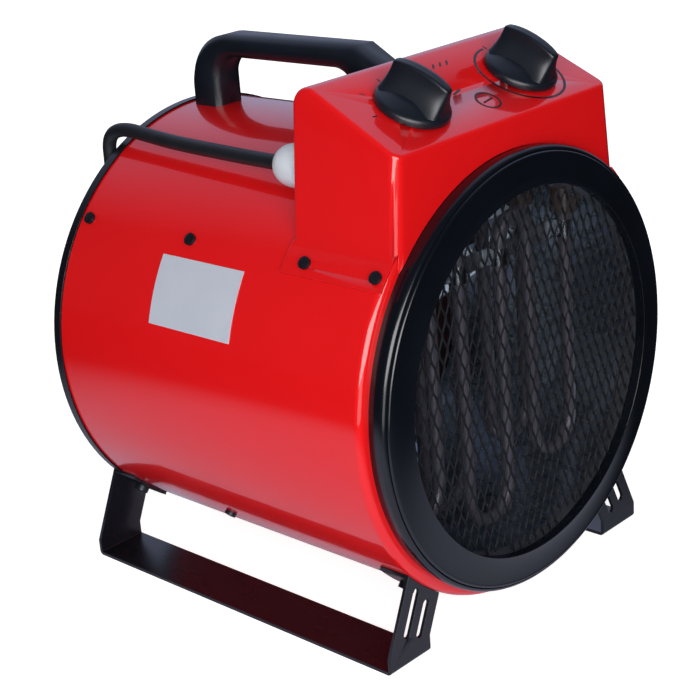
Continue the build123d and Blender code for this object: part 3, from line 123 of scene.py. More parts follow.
def mottled(name, grain, dark, light, rough=None, stretch=(1, 1, 1), detail=4.0, **sockets):
    """A Principled material whose colour, and roughness where two values are given, follow a noise.

    grain is the size of one patch of the noise, and stretch scales the noise along X, Y and Z.
    The last names are the shader's own sockets, with _ for a space.
    """
    material = bpy.data.materials.new(name)
    material.use_nodes = True
    material.node_tree.nodes.clear()
    values = {socket.replace("_", " "): value for socket, value in sockets.items()}
    shader = node(material, "BsdfPrincipled", values)
    node(material, "OutputMaterial", {"Surface": shader.outputs[0]})
    place = node(material, "TexCoord").outputs["Object"]
    if stretch != (1, 1, 1):
        place = node(material, "Mapping", {"Vector": place, "Scale": stretch}).outputs[0]
    noise = node(material, "TexNoise", {"Vector": place, "Scale": 1 / grain, "Detail": detail}).outputs[0]
    shade = node(material, "Mix", {"Factor": noise, 6: tone(dark), 7: tone(light)}, data_type="RGBA")
    material.node_tree.links.new(shade.outputs[2], shader.inputs["Base Color"])
    if rough:
        dull = node(material, "MapRange", {"Value": noise, "To Min": rough[0], "To Max": rough[1]})
        material.node_tree.links.new(dull.outputs[0], shader.inputs["Roughness"])
    return material


def pebbled(material, grain, height, strength, edge=None, coat=False):
    """Raises a fine noise on the surface, and rounds its edges to the eye where an edge radius is given."""
    shader = material.node_tree.nodes["Principled BSDF"]
    place = node(material, "TexCoord").outputs["Object"]
    noise = node(material, "TexNoise", {"Vector": place, "Scale": 1 / grain, "Detail": 1.0})
    sockets = {"Height": noise.outputs[0], "Strength": strength, "Distance": height}
    if edge:
        sockets["Normal"] = node(material, "Bevel", {"Radius": edge}, samples=4).outputs[0]
    bump = node(material, "Bump", sockets)
    material.node_tree.links.new(bump.outputs[0], shader.inputs["Normal"])
    if coat:
        material.node_tree.links.new(bump.outputs[0], shader.inputs["Coat Normal"])


def dress(material, *names):
    """Gives the CAD nodes' own objects a finish."""
    for name in names:
        data = frame["nodes"][name].data
        data.materials.clear()
        data.materials.append(material)


cord_rubber = mottled("vulcanised_rubber", 12 * mm, "0C0D10", "1C1E24", detail=5.0, Roughness=0.5, IOR=1.52)
pebbled(cord_rubber, 0.8 * mm, 0.1 * mm, 0.25)

# From the gland to the floor: (x, depth, height).
cord_route = [
    (-76, 62, 124), (-75.5, 95, 123.6), (-72, 140, 123.2), (-69, 185, 123.4), (-67, 212, 124.8),
    (-65.6, 232, 126.2), (-64.6, 246, 123.2), (-64.2, 252.5, 116), (-64, 253, 104), (-62, 256.5, 88),
    (-58.5, 262.5, 64), (-50.5, 262.5, 24), (-44.5, 262, -18), (-38, 262, -56), (-27, 264, -90),
    (-8, 268, -117), (23, 276.5, -135.35), (57.5, 276.5, -135.35)]
cord_points = [(x * mm, front + depth * mm, axis + height * mm) for x, depth, height in cord_route]

# The coil: half turns, each half a step smaller than the last, then larger again on the upper layer.
# Eight control points to a half turn stand at radius / cos(half their angle), so that the smooth line
# touches the true circle between them.
cord_radius = 4.25 * mm
coil_radius = 54.5 * mm
coil_step = 9.3 * mm
coil_rise = 9.1 * mm
coil_across = 66 * mm
coil_depth = 331 * mm
coil_end = 27 * mm
turns_in_layer = 2
points_in_half = 8
half_turns = [coil_radius - coil_step * number / 2 for number in range(2 * turns_in_layer + 1)]
half_turns += half_turns[-2:0:-1]
begin, way, level = coil_radius, 1, 0.0
for number, turn in enumerate(half_turns):
    climb = coil_rise if number == 2 * turns_in_layer else 0.0
    centre = begin - way * turn
    for count in range(points_in_half):
        angle = pi * (count + 0.5) / points_in_half
        reach = turn / cos(pi / points_in_half / 2)
        out, side = centre + way * reach * cos(angle), way * reach * sin(angle)
        cord_points.append((coil_across + side, front + coil_depth - out,
                            cord_radius + level + climb * (count + 0.5) / points_in_half))
    begin, way, level = begin - 2 * way * turn, -way, level + climb
cord_points.append((coil_across + coil_end, front + coil_depth - coil_radius, cord_radius + coil_rise))

cord_curve = bpy.data.curves.new("cord", "CURVE")
cord_curve.dimensions = "3D"
spline = cord_curve.splines.new("NURBS")
spline.points.add(len(cord_points) - 1)
spline.points.foreach_set("co", np.array([(*point, 1.0) for point in cord_points]).ravel())
spline.order_u = 3
spline.use_endpoint_u = True
spline.resolution_u = 6
cord_curve.bevel_depth = cord_radius
cord_curve.bevel_resolution = 6
cord_curve.use_fill_caps = True
cord = bpy.data.objects.new("cord", cord_curve)
bpy.context.scene.collection.objects.link(cord)
# The rubber goes on first, or Blender keeps a box for the curve that is a metre too large.
cord_curve.materials.append(cord_rubber)
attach(cord, "housing")
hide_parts("cord_run", "cord_coil")
dress(cord_rubber, "plug_body")


# ---- coil tie ------------------------------------------------------------------------------------
# A hook-and-loop strap round both layers of the coil, where four turns lie as a square block.
# Woven nylon tape: black, dull, with a rib every millimetre.
def solid(name, grids, loop=False, crease=35, body="housing"):
    """A mesh from grids of points, one closed solid for each.

    A grid's rows follow a profile or a path, and its columns go round it and meet. loop joins the
    last row to the first, and without it the two end rows get a flat cap. Each solid whose volume
    comes out negative has its faces turned.
    """
    corners, faces, start = [], [], 0
    for grid in grids:
        rows, columns = grid.shape[:2]
        index = np.arange(rows * columns).reshape(rows, columns)
        net = np.vstack([index, index[:1]]) if loop else index
        net = np.hstack([net, net[:, :1]])
        quads = np.stack([net[:-1, :-1], net[1:, :-1], net[1:, 1:], net[:-1, 1:]], axis=-1).reshape(-1, 4)
        caps = [] if loop else [index[0], index[-1][::-1]]
        points = grid.reshape(-1, 3)
        a, b, c, d = (points[quads[:, corner]] for corner in range(4))
        volume = np.sum(a * np.cross(b, c)) + np.sum(a * np.cross(c, d))
        for cap in caps:
            volume += np.sum(points[cap[0]] * np.cross(points[cap[1:-1]], points[cap[2:]]))
        mine = (start + quads).tolist() + [(start + cap).tolist() for cap in caps]
        if volume < 0:
            mine = [face[::-1] for face in mine]
        corners.append(points)
        faces += mine
        start += rows * columns
    mesh = bpy.data.meshes.new(name)
    mesh.from_pydata(np.concatenate(corners).tolist(), [], faces)
    mesh.validate()
    mesh.shade_smooth()
    mesh.set_sharp_from_angle(angle=radians(crease))
    piece = bpy.data.objects.new(name, mesh)
    bpy.context.scene.collection.objects.link(piece)
    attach(piece, body)
    return piece


def made_of(piece, material, slot, *nodes):
    """Gives a new piece its finish and hides the CAD nodes that it replaces; the slot is not used."""
    piece.data.materials.append(material)
    if nodes:
        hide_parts(*nodes)
    return piece


def rounded_outline(half_x, half_y, corner, steps=6):
    """Closed outline of a rectangle with round corners: corner centre + corner (cos a, sin a)."""
    angle = np.radians(np.linspace(0, 90, steps + 1))
    turns = [angle + quarter * pi / 2 for quarter in range(4)]
    sides = ((1, 1), (-1, 1), (-1, -1), (1, -1))
    return np.concatenate([np.stack([x * (half_x - corner) + corner * np.cos(turn),
                                     y * (half_y - corner) + corner * np.sin(turn)], axis=-1)
                           for turn, (x, y) in zip(turns, sides)])


nylon_tape = mottled("woven_nylon_tape", 1 * mm, "08080A", "1A1A1E", rough=(0.6, 0.85), stretch=(1, 0.2, 1))
pebbled(nylon_tape, 1 * mm, 0.3 * mm, 0.6)
tie_width, tie_sheet = 9 * mm, 0.9 * mm
block_half_x = coil_step / 2 + cord_radius
block_half_z = coil_rise / 2 + cord_radius
tie_x = coil_across - (coil_radius - coil_step)
tie_z = block_half_z + tie_sheet / 2
outer_loop = rounded_outline(block_half_x + tie_sheet, block_half_z + tie_sheet / 2, cord_radius)
inner_loop = rounded_outline(block_half_x, block_half_z - tie_sheet / 2, cord_radius - tie_sheet)
tie_rows = []
for outline, side in ((inner_loop, -1), (outer_loop, -1), (outer_loop, 1), (inner_loop, 1)):
    edge_y = np.full(len(outline), front + coil_depth + side * tie_width / 2)
    tie_rows.append(np.stack([tie_x + outline[:, 0], edge_y, tie_z + outline[:, 1]], axis=-1))
made_of(solid("coil_tie", [np.stack(tie_rows)], loop=True), nylon_tape, "black_rubber")


# ---- drum --------------------------------------------------------------------------------------
# Rolled sheet steel, 1.2 mm, with its front edge rolled in to a flange that carries the bezel.
# Gloss stoving enamel on steel: deep even red, a faint orange peel and a sharp clear reflection.
def lathe(profile, steps=192, across=0.0, height=0.0):
    """Turns (depth, radius) points about an axis along Y.

    x = across + radius cos a, z = axis + height + radius sin a.
    """
    depth, radius = (np.array(profile, float) * mm).T
    angle = np.linspace(0, 2 * pi, steps, endpoint=False)
    return np.stack([across + radius[:, None] * np.cos(angle), front + depth[:, None] + 0 * angle,
                     axis + height + radius[:, None] * np.sin(angle)], axis=-1)


def arc(centre, radius, start, end, steps=8):
    """Points of an arc on a section: centre + radius (cos a, sin a), with a in degrees."""
    angle = np.radians(np.linspace(start, end, steps + 1))
    return [(centre[0] + radius * c, centre[1] + radius * s) for c, s in zip(np.cos(angle), np.sin(angle))]


red_enamel = mottled("gloss_stoving_enamel", 90 * mm, "CE0F11", "D61417", detail=3.0, Roughness=0.3,
                     IOR=1.5, Specular_IOR_Level=0.1, Coat_Weight=1.0, Coat_Roughness=0.05, Coat_IOR=1.5)
pebbled(red_enamel, 3.5 * mm, 0.05 * mm, 0.1, edge=0.5 * mm, coat=True)
drum_length, drum_radius, drum_wall, edge_roll, flange_bore = 241.8, 130.0, 1.2, 4.5, 105.6
roll_centre = (edge_roll, drum_radius - edge_roll)
drum_profile = (arc(roll_centre, edge_roll, 180, 90)
                + [(drum_length, drum_radius), (drum_length, drum_radius - drum_wall)]
                + arc(roll_centre, edge_roll - drum_wall, 90, 180)
                + [(drum_wall, flange_bore), (0, flange_bore)])
drum = made_of(solid("drum", [lathe(drum_profile)], loop=True), red_enamel, "red_enamel", "drum_shell")

# Inside the wall, and on the rim of the flange, the drum is drawn a dull dark red, not its enamel: painted
# shade for the dim inside of the heater where it shows through the mesh.
inside_shade_paint = mottled("dark_red_painted_shade", 20 * mm, "2A0B0D", "3C1012", rough=(0.5, 0.7), IOR=1.5)
drum.data.materials.append(inside_shade_paint)
centres = np.empty(len(drum.data.polygons) * 3)
drum.data.polygons.foreach_get("center", centres)
centres = centres.reshape(-1, 3) - (0, front, axis)
from_axis = np.hypot(centres[:, 0], centres[:, 2])
wall_middle, roll_end, rim_end = drum_radius - 0.6 * drum_wall, edge_roll + 1, flange_bore + 2
# Painted shade: the faces inside the wall and round the flange's bore take the dark second material.
inside_wall = (from_axis < wall_middle * mm) & (centres[:, 1] > roll_end * mm)
painted_shade_faces = inside_wall | (from_axis < rim_end * mm)
drum.data.polygons.foreach_set("material_index", painted_shade_faces.astype(np.int32))


# ---- bezel -------------------------------------------------------------------------------------
# Injection-moulded ring with a broad outer band, a groove, a bead and a face that rises to the lip.
# Glossy heat-resistant polyamide: near black, smooth from a polished tool. Six screws hold it from
# behind, out of sight, and a steel ring holds the mesh in it.
def bent(start, middle, end, steps=8):
    """Points of a quadratic curve that starts and ends on two points and passes the middle one."""
    share = np.linspace(0, 1, steps + 1)[:, None]
    start, middle, end = (np.array(point, float) for point in (start, middle, end))
    pull = 2 * middle - (start + end) / 2
    points = (1 - share) ** 2 * start + 2 * share * (1 - share) * pull + share ** 2 * end
    return [tuple(point) for point in points]


bezel_nylon = mottled("polished_polyamide", 40 * mm, "06080C", "0C1017", rough=(0.14, 0.22), IOR=1.53)
bezel_depth, bezel_bore, bezel_wall, bezel_radius, bezel_back = 14.0, 103.8, 2.6, 124.5, 123.3
band_depth = 0.56 * bezel_depth
mesh_recess, recess_step = 5.4, 3.3
groove = bent((-band_depth, bezel_radius), (-0.71 * bezel_depth, bezel_radius - 0.8),
              (-0.78 * bezel_depth, bezel_radius - 2.3))
bead = bent((-0.74 * bezel_depth, bezel_radius - 2.9), (-0.86 * bezel_depth, bezel_radius - 3.7),
            (-0.85 * bezel_depth, bezel_radius - 5.2))
lip = bent((0.3 - bezel_depth, bezel_bore + 0.9), (0.1 - bezel_depth, bezel_bore + 0.25),
           (0.4 - bezel_depth, bezel_bore))
bezel_inside = [(mesh_recess - bezel_depth, bezel_bore),
                (mesh_recess - bezel_depth, bezel_bore + recess_step),
                (bezel_wall - bezel_depth, bezel_radius - 10.2),
                (bezel_wall - 0.8 * bezel_depth, bezel_radius - 5.6),
                (-band_depth, bezel_radius - bezel_wall), (0, bezel_back - bezel_wall)]
bezel_profile = [(0, bezel_back)] + groove + bead + lip + bezel_inside
made_of(solid("bezel", [lathe(bezel_profile, 256)], loop=True), bezel_nylon, "black_gloss", "front_bezel")

# Zinc-plated steel, for pressings, screws and nuts: pale grey with a fine crystalline bloom.
zinc_plate = mottled("zinc_plated_steel", 4 * mm, "9EA2A8", "C6CACE", rough=(0.25, 0.45), Metallic=1.0)
dress(zinc_plate, "mesh_retainer", "bezel_screws")

# ---- outlet mesh ---------------------------------------------------------------------------------
# Flattened expanded steel sheet: slit and stretched, so that its strands are one piece and lean a
# little out of the sheet. Stoved matt black, a little greyed by heat and dust.
mesh_black = mottled("heat_resistant_black_paint", 30 * mm, "07090D", "0D1016", rough=(0.45, 0.65), IOR=1.5,
                     Specular_IOR_Level=0.2)
diamond_wide, diamond_high = 6.8 * mm, 17.2 * mm
strand_width, strand_sheet, strand_lean = 1.15 * mm, 0.9 * mm, radians(24)
mesh_reach = 105.6 * mm
mesh_plane = front + (mesh_recess - bezel_depth + 0.6) * mm
rows = int(mesh_reach / diamond_high * 2) + 2
columns = int(mesh_reach / diamond_wide) + 2
row, column = np.meshgrid(np.arange(-rows, rows + 1), np.arange(-columns, columns + 1))
row, column = row.ravel(), column.ravel()
knuckle = np.stack([(column + 0.5 * (row % 2)) * diamond_wide, row * diamond_high / 2], axis=-1)
corner = np.array([[-1, -1], [1, -1], [1, 1], [-1, 1]]) * [strand_width / 2, strand_sheet / 2]

# A strand runs from a knuckle to the one up and beside it. Its places are shares of the way across
# and of the way up, and it is upright at both ends.
strand_places = np.stack([[0.0, 0.02, 0.5, 0.98, 1.0], [0.0, 0.14, 0.5, 0.86, 1.0]], axis=-1)
strands = []
for side in (-1, 1):
    stride = np.array([side * diamond_wide / 2, diamond_high / 2])
    line = knuckle[:, None, :] + strand_places * stride
    line = line[np.hypot(line[..., 0], line[..., 1]).max(axis=1) < mesh_reach]
    lean = side * strand_lean
    section = corner @ np.array([[cos(lean), sin(lean)], [-sin(lean), cos(lean)]])
    x = line[..., 0][..., None] + section[:, 0]
    y = mesh_plane + 0 * x + section[:, 1]
    z = axis + line[..., 1][..., None] + 0 * x
    strands += list(np.stack([x, y, z], axis=-1))
made_of(solid("outlet_mesh_strands", strands, crease=30), mesh_black, "mesh_steel", "outlet_mesh")

# ---- inner duct ----------------------------------------------------------------------------------
# Rolled aluminised sheet round the elements, on zinc-plated spacers. Bright, with drawn lines along
# the axis and faint dents.
duct_steel = mottled("aluminised_sheet", 2.5 * mm, "A6B6C8", "D2DEEA", rough=(0.2, 0.38),
                     stretch=(1.0, 0.06, 1.0), Metallic=1.0)
pebbled(duct_steel, 45 * mm, 1.2 * mm, 0.5)
duct_radius, duct_sheet, duct_front, duct_back = 110.0, 0.8, 1.3, 129.3
duct_profile = [(duct_front, duct_radius), (duct_back, duct_radius),
                (duct_back, duct_radius - duct_sheet), (duct_front, duct_radius - duct_sheet)]
duct = solid("inner_duct_sheet", [lathe(duct_profile)], loop=True)
made_of(duct, duct_steel, "polished_duct", "inner_duct")
dress(zinc_plate, "duct_spacers")

# ---- heating elements ------------------------------------------------------------------------------
# Two steel-sheathed tubes, each bent into six legs. Annealed stainless sheath: mauve-grey from heat,
# unevenly so, with a satin surface.
sheath = mottled("heat_tinted_stainless", 30 * mm, "403C46", "58545F", rough=(0.35, 0.5), detail=5.0,
                 Metallic=0.35)
sheath_radius = 4 * mm
legs, leg_end = (-80, -44, -18, 18, 44, 80), 104
bend_heights = (-58, 63, -80, 63, -58)
element_line = [(legs[0], leg_end)]
for number, height in enumerate(bend_heights):
    # A half circle joins each leg to the next one, below and above by turns.
    left, right = legs[number], legs[number + 1]
    end = 0 if number % 2 else 360
    element_line += arc(((left + right) / 2, height), (right - left) / 2, 180, end, 16)
element_line = np.array(element_line + [(legs[-1], leg_end)]) * mm


def flat_tube(line, depth, radius, sides=16):
    """Tube round a line in the plane of the element.

    point = line + radius (cos a along the line's normal, sin a along the depth).
    """
    way = np.gradient(line, axis=0)
    way /= np.hypot(way[:, :1], way[:, 1:])
    angle = np.linspace(0, 2 * pi, sides, endpoint=False)
    x = line[:, :1] + radius * np.cos(angle) * -way[:, 1:]
    z = axis + line[:, 1:] + radius * np.cos(angle) * way[:, :1]
    y = front + depth + radius * np.sin(angle) + 0 * x
    return np.stack([x, y, z], axis=-1)


for name, depth in (("element_front", 24 * mm), ("element_rear", 56 * mm)):
    tube = solid(name + "_tube", [flat_tube(element_line, depth, sheath_radius)], crease=60)
    made_of(tube, sheath, "element_sheath", name)

# The bars, studs and nuts are zinc-plated. Bushes, insulators and the block are steatite: dense fired
# ceramic, drawn dark brown rather than its own cream, with tiny dark specks.
dress(zinc_plate, "terminal_studs", "element_bars", "block_screws", "terminal_nuts")
steatite = mottled("dark_brown_steatite", 1.2 * mm, "2E2522", "4A3E38", detail=2.0, Roughness=0.25,
                   IOR=1.55)
dress(steatite, "element_bushes", "terminal_insulators", "terminal_block")

# Bright spring steel, a little greyed by heat, for the clips round the elements' legs.
clip_steel = mottled("bright_spring_steel", 3 * mm, "8E949C", "B8BEC6", detail=3.0, Metallic=1.0,
                     Roughness=0.18)
dress(clip_steel, "element_clips")

# ---- motor -----------------------------------------------------------------------------------------
# Shaded-pole motor on a bracket: between its zinc-plated covers sit a stator and a rotor of laminated
# sheet, two windings, and a shaft in two bronze bushes.
dress(zinc_plate, "motor_bracket", "motor_front_cover", "motor_rear_cover", "motor_screws", "motor_shaft")

# Laminated electrical steel: dark grey-blue, with the edges of its 0.5 mm sheets as lines, drawn
# twice as coarse so that they show.
lamination = mottled("laminated_electrical_steel", 1 * mm, "34383E", "62676E", stretch=(0.02, 1, 0.02),
                     detail=0.0, Metallic=0.8, Roughness=0.45)
dress(lamination, "stator_core", "rotor_core")

# Lacquered copper, for windings, links and the capillary: warm brown, shiny, slightly uneven.
copper = mottled("lacquered_copper", 2 * mm, "8A4A24", "C67A48", detail=3.0, Metallic=1.0, Roughness=0.3)
dress(copper, "stator_windings", "terminal_links", "thermostat_bulb")

# Turned brass and sintered bronze: yellow metal, slightly porous.
brass = mottled("turned_brass", 1.5 * mm, "A88A4C", "D2B470", rough=(0.2, 0.36), detail=3.0, Metallic=1.0)
dress(brass, "shaft_bearings", "plug_pins")


# ---- fan -------------------------------------------------------------------------------------------
# Pressed aluminium blades on a turned hub, held on the shaft by a nut. Mill finish: pale and slightly
# clouded.
def refined(name, crease=32):
    """A copy of a CAD node with its doubles merged, smooth but for edges sharper than the crease."""
    source = frame["nodes"][name]
    mesh = source.data.copy()
    work = bmesh.new()
    work.from_mesh(mesh)
    bmesh.ops.remove_doubles(work, verts=work.verts, dist=0.002 * mm)
    work.to_mesh(mesh)
    work.free()
    mesh.name = name + "_skin"
    mesh.materials.clear()
    mesh.shade_smooth()
    mesh.set_sharp_from_angle(angle=radians(crease))
    piece = bpy.data.objects.new(name + "_skin", mesh)
    bpy.context.scene.collection.objects.link(piece)
    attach(piece, body_of(source)[0])
    return piece


fan_sheet = mottled("mill_finish_aluminium", 5 * mm, "A4A8AE", "CDD0D4", rough=(0.28, 0.42), Metallic=1.0)
made_of(refined("fan_impeller"), fan_sheet, "polished_duct", "fan_impeller")
dress(zinc_plate, "fan_nut")

# ---- stands, trim, guard and motor can -------------------------------------------------------------
# Bent strip, a rolled trim ring, welded wire and a pressed can, all powder coated: polyester powder
# melted on steel, black, satin, with a fine pebble.
powder_coat = mottled("black_powder_coat", 30 * mm, "0A0B10", "13151B", rough=(0.22, 0.34), IOR=1.5)
pebbled(powder_coat, 0.9 * mm, 0.05 * mm, 0.2, edge=0.5 * mm)
for name in ("stand_left", "stand_right", "rear_trim", "motor_can", "rear_guard"):
    made_of(refined(name), powder_coat, "black_paint", name)
dress(zinc_plate, "stand_nuts")

# ---- control box -----------------------------------------------------------------------------------
# Folded sheet steel with two flanges screwed to the drum, and enamelled as the drum is. Under its
# sloping panel sit the switch, of grey phenolic moulding compound, and the thermostat.
made_of(refined("control_cover"), red_enamel, "red_enamel", "control_cover")
phenolic = mottled("phenolic_moulding", 1.5 * mm, "4A4D52", "6E7278", detail=3.0, Roughness=0.5, IOR=1.55)
dress(phenolic, "selector_body", "thermal_cutout")
dress(zinc_plate, "thermostat_body", "control_screws", "selector_spindle", "thermostat_spindle",
      "bulb_clip")

# Silicone-covered wires inside the box, and the rubber grommet through which they reach the drum.
silicone = mottled("silicone_sleeve", 6 * mm, "6E2418", "9A3A26", detail=3.0, Roughness=0.45, IOR=1.43)
dress(silicone, "inner_leads")
dress(cord_rubber, "wire_grommet")

# ---- dial marks ------------------------------------------------------------------------------------
# Pad-printed on the panel in black ink: ticks round both knobs, an arc round the right one, a ring
# and plain bars, no lettering. The ink is drawn 0.1 mm thick.
panel_height, panel_slope = 141.3 * mm, radians(26.5)
ink_sink, ink_rise = 0.05 * mm, 0.1 * mm
knob_across, knob_up, knob_radius = 45.8, 28.2, 20.8


def on_panel(x, up, rise):
    """A point across, up the sloping panel and above its skin: the panel turned about its front edge."""
    return np.stack([x, front + up * cos(panel_slope) - rise * sin(panel_slope),
                     axis + panel_height + up * sin(panel_slope) + rise * cos(panel_slope)], axis=-1)


def printed(line, width, closed=False):
    """A flat ribbon of ink along a line on the panel: point = line + half the width along its normal."""
    line = np.array(line, float) * mm
    way = np.roll(line, -1, axis=0) - np.roll(line, 1, axis=0) if closed else np.gradient(line, axis=0)
    way /= np.hypot(way[:, :1], way[:, 1:])
    sides = np.array([-1, 1, 1, -1]) * width * mm / 2
    x = line[:, :1] - sides * way[:, 1:]
    up = line[:, 1:] + sides * way[:, :1]
    return on_panel(x, up, np.broadcast_to([-ink_sink, -ink_sink, ink_rise, ink_rise], x.shape))


def bar(x, up, run, climb, width):
    """A short straight bar of ink about a place on the panel: run to each side of it, and climb."""
    return printed([(x - run, up - climb), (x, up), (x + run, up + climb)], width)


ink = mottled("pad_printing_ink", 4 * mm, "0A0A0C", "141418", rough=(0.3, 0.45), detail=2.0, IOR=1.5)
tick_reach = knob_radius + np.linspace(4.0, 7.0, 3)
marks = []
for side, start, end, count in ((-1, 175, 40, 4), (1, 160, 20, 3)):
    for angle in np.radians(np.linspace(start, end, count)):
        tick_x = side * knob_across + tick_reach * cos(angle)
        tick_up = knob_up + tick_reach * sin(angle)
        marks.append(printed(np.stack([tick_x, tick_up], axis=-1), 0.9))
marks.append(printed(arc((knob_across, knob_up), knob_radius + 5.0, 95, 350, 60), 1.5))
marks.append(bar(-8.6, 28.5, 4.0, 1.2, 1.3))
marks += [bar(x, 52.2, 1.6, 1.6, 1.2) for x in (-1.4, 4.2, 9.8)]
ring_across, ring_up, ring_radius = 2.8, 15.7, 7.0
marks.append(bar(ring_across, ring_up, 4.4, 0.7, 1.0))
made_of(solid("dial_marks", marks), ink, "black_satin")
ring = printed(arc((ring_across, ring_up), ring_radius, 0, 350, 35), 1.2, closed=True)
made_of(solid("dial_ring", [ring], loop=True), ink, "black_satin")

# ---- knobs -------------------------------------------------------------------------------------------
# Two moulded knobs, each a low hollow skirt and a grip that narrows to an arched ridge, pressed on a
# spindle. Moulded ABS from a finely eroded tool: black, satin, with an even grain.
satin_abs = mottled("textured_abs", 20 * mm, "0B0F16", "141A24", rough=(0.3, 0.42), IOR=1.5)
pebbled(satin_abs, 0.6 * mm, 0.04 * mm, 0.15)
skirt_foot, skirt_top, skirt_round, skirt_bore, knob_height = 0.8, 6.2, 3.2, 18.6, 23.2
skirt_profile = ([(skirt_bore, skirt_foot), (knob_radius, skirt_foot), (knob_radius, 2.0)]
                 + arc((knob_radius - skirt_round, 2.2), skirt_round, 8, 62)
                 + [(13.0, 7.4), (9.0, 8.6), (1.0, 8.8), (1.0, skirt_top - 2.2),
                    (skirt_bore, skirt_top - 2.2)])
grip_half_wide, grip_half_long, ridge_half_wide, ridge_half_long = 11.0, 19.2, 3.7, 17.6
grip_sink, side_hollow, end_hollow, ridge_arch = 0.8, 1.8, 2.5, 2.9
crown_inset, crown_rise = [0.35, 0.9, 1.8, 2.7, 3.5], [0.45, 0.75, 0.85, 0.9, 0.92]


def knob_surfaces(centre, rest):
    """The skirt and the grip of a knob about its own axis, then turned by its rest angle on the panel.

    The skirt turns a profile: (radius cos a, radius sin a). The grip is a stack of outlines
    (wide |cos a|^p, long |sin a|^p), with p below a half so that their corners are nearly square.
    Half width and half length fall with the height along hollow curves, the crown's rows close the
    ridge, and its height falls towards its ends by the square of the place.
    """
    angle = np.linspace(0, 2 * pi, 96, endpoint=False)
    radius, rise = np.array(skirt_profile).T
    skirt = np.stack([radius[:, None] * np.cos(angle), radius[:, None] * np.sin(angle),
                      rise[:, None] + 0 * angle], axis=-1)
    flank = np.linspace(0, 1, 15)
    climb = np.concatenate([flank, np.ones(len(crown_rise))])
    inset = np.concatenate([0 * flank, crown_inset])
    crown = np.concatenate([0 * flank, crown_rise])
    wide = ridge_half_wide + (grip_half_wide - ridge_half_wide) * (1 - climb) ** side_hollow - inset
    long = ridge_half_long + (grip_half_long - ridge_half_long) * (1 - climb) ** end_hollow - inset
    power = (0.38 + 0.08 * climb)[:, None]
    x = wide[:, None] * np.sign(np.cos(angle)) * np.abs(np.cos(angle)) ** power
    y = long[:, None] * np.sign(np.sin(angle)) * np.abs(np.sin(angle)) ** (power - 0.04)
    grip_foot = skirt_top - grip_sink
    ridge = knob_height - crown_rise[-1] - ridge_arch * (y / ridge_half_long) ** 2
    z = grip_foot + (ridge - grip_foot) * climb[:, None] + crown[:, None]
    level, lift = cos(radians(rest)), sin(radians(rest))
    placed = []
    for surface in (skirt, np.stack([x, y, z], axis=-1)):
        across = centre[0] + surface[..., 0] * level - surface[..., 1] * lift
        up = centre[1] + surface[..., 0] * lift + surface[..., 1] * level
        placed.append(on_panel(across * mm, up * mm, surface[..., 2] * mm))
    return placed


for body, side, rest in (("selector", -1, 8.0), ("thermostat", 1, 3.0)):
    name = body + "_knob"
    skirt, grip = knob_surfaces((side * knob_across, knob_up), rest)
    skirt_piece = solid(name + "_skirt", [skirt], loop=True, crease=40, body=body)
    grip_piece = solid(name + "_grip", [grip], crease=40, body=body)
    made_of(skirt_piece, satin_abs, "black_satin", name)
    made_of(grip_piece, satin_abs, "black_satin")

# ---- handle ------------------------------------------------------------------------------------------
# Carrying handle on two feet, moulded of the same black ABS with glass fibre, hollow underneath, and
# held by screws from inside the drum.
made_of(refined("handle"), satin_abs, "black_satin", "handle")
dress(zinc_plate, "handle_screws")

# ---- outer screws and bolts ----------------------------------------------------------------------------
# Pan-head screws on the drum and the box, and the stands' bolts. Blackened steel, a little oily, with
# the rims of the heads rounded by the header.
black_oxide = mottled("black_oxide_steel", 3 * mm, "16191E", "363A42", rough=(0.25, 0.45), detail=3.0,
                      Metallic=0.7)
for name in ("drum_screws", "cover_screws", "stand_bolts"):
    rim = made_of(refined(name), black_oxide, "dark_screw", name).modifiers.new("rim", "BEVEL")
    rim.width, rim.segments, rim.limit_method, rim.angle_limit = 0.8 * mm, 3, "ANGLE", radians(50)

# ---- gland -------------------------------------------------------------------------------------------
# Cord gland: a hexagon against the box's back wall and a domed cap that grips the cord and relieves its
# bend. Polyamide, light grey and slightly translucent, as is the nut inside.
grey_nylon = mottled("light_grey_polyamide", 10 * mm, "BFC3C9", "D2D5DA", detail=3.0, Roughness=0.32,
                     IOR=1.53, Subsurface_Weight=0.1)
gland_across, gland_height, gland_sides = -76 * mm, 124 * mm, 96
gland_face, gland_radius, gland_bore, gland_end = 70.0, 12.0, 4.3, 95.0
thread_back, thread_radius = 62.6, 9.8
hexagon_end, hexagon_apothem, hexagon_edge = 75.0, 1.12 * gland_radius * cos(pi / 6), 0.6
cap_profile = ([(thread_back, gland_bore), (thread_back, thread_radius), (gland_face, thread_radius),
                (gland_face, 11.0), (hexagon_end, 11.4)]
               + bent((hexagon_end + 0.3, gland_radius), (gland_end - 8.5, 11.3),
                      (gland_end - 2.5, 7.6), 12)
               + [(gland_end - 0.8, 5.9), (gland_end, 5.0), (gland_end, gland_bore)])
cap = lathe(cap_profile, gland_sides, gland_across, gland_height)
made_of(solid("gland_cap", [cap], loop=True), grey_nylon, "gland_grey", "cable_gland")

# The hexagon is a turned disc whose radius grows from the middle of each flat as 1 / cos a, up to the
# turned-off corners.
hexagon_profile = [(gland_face, hexagon_apothem - 0.5), (gland_face + 0.5, hexagon_apothem),
                   (hexagon_end - hexagon_edge, hexagon_apothem),
                   (hexagon_end, hexagon_apothem - hexagon_edge)]
collar = lathe(hexagon_profile, gland_sides, gland_across, gland_height)
spread = np.linspace(0, 2 * pi, gland_sides, endpoint=False)
from_flat = (spread + pi / 6) % (pi / 3) - pi / 6
growth = np.minimum((1 + 0.25 / hexagon_apothem) / np.cos(from_flat), 1.11)
gland_axis = axis + gland_height
collar[..., 0] = gland_across + (collar[..., 0] - gland_across) * growth
collar[..., 2] = gland_axis + (collar[..., 2] - gland_axis) * growth
made_of(solid("gland_hexagon", [collar], crease=25), grey_nylon, "gland_grey")
dress(grey_nylon, "gland_nut")

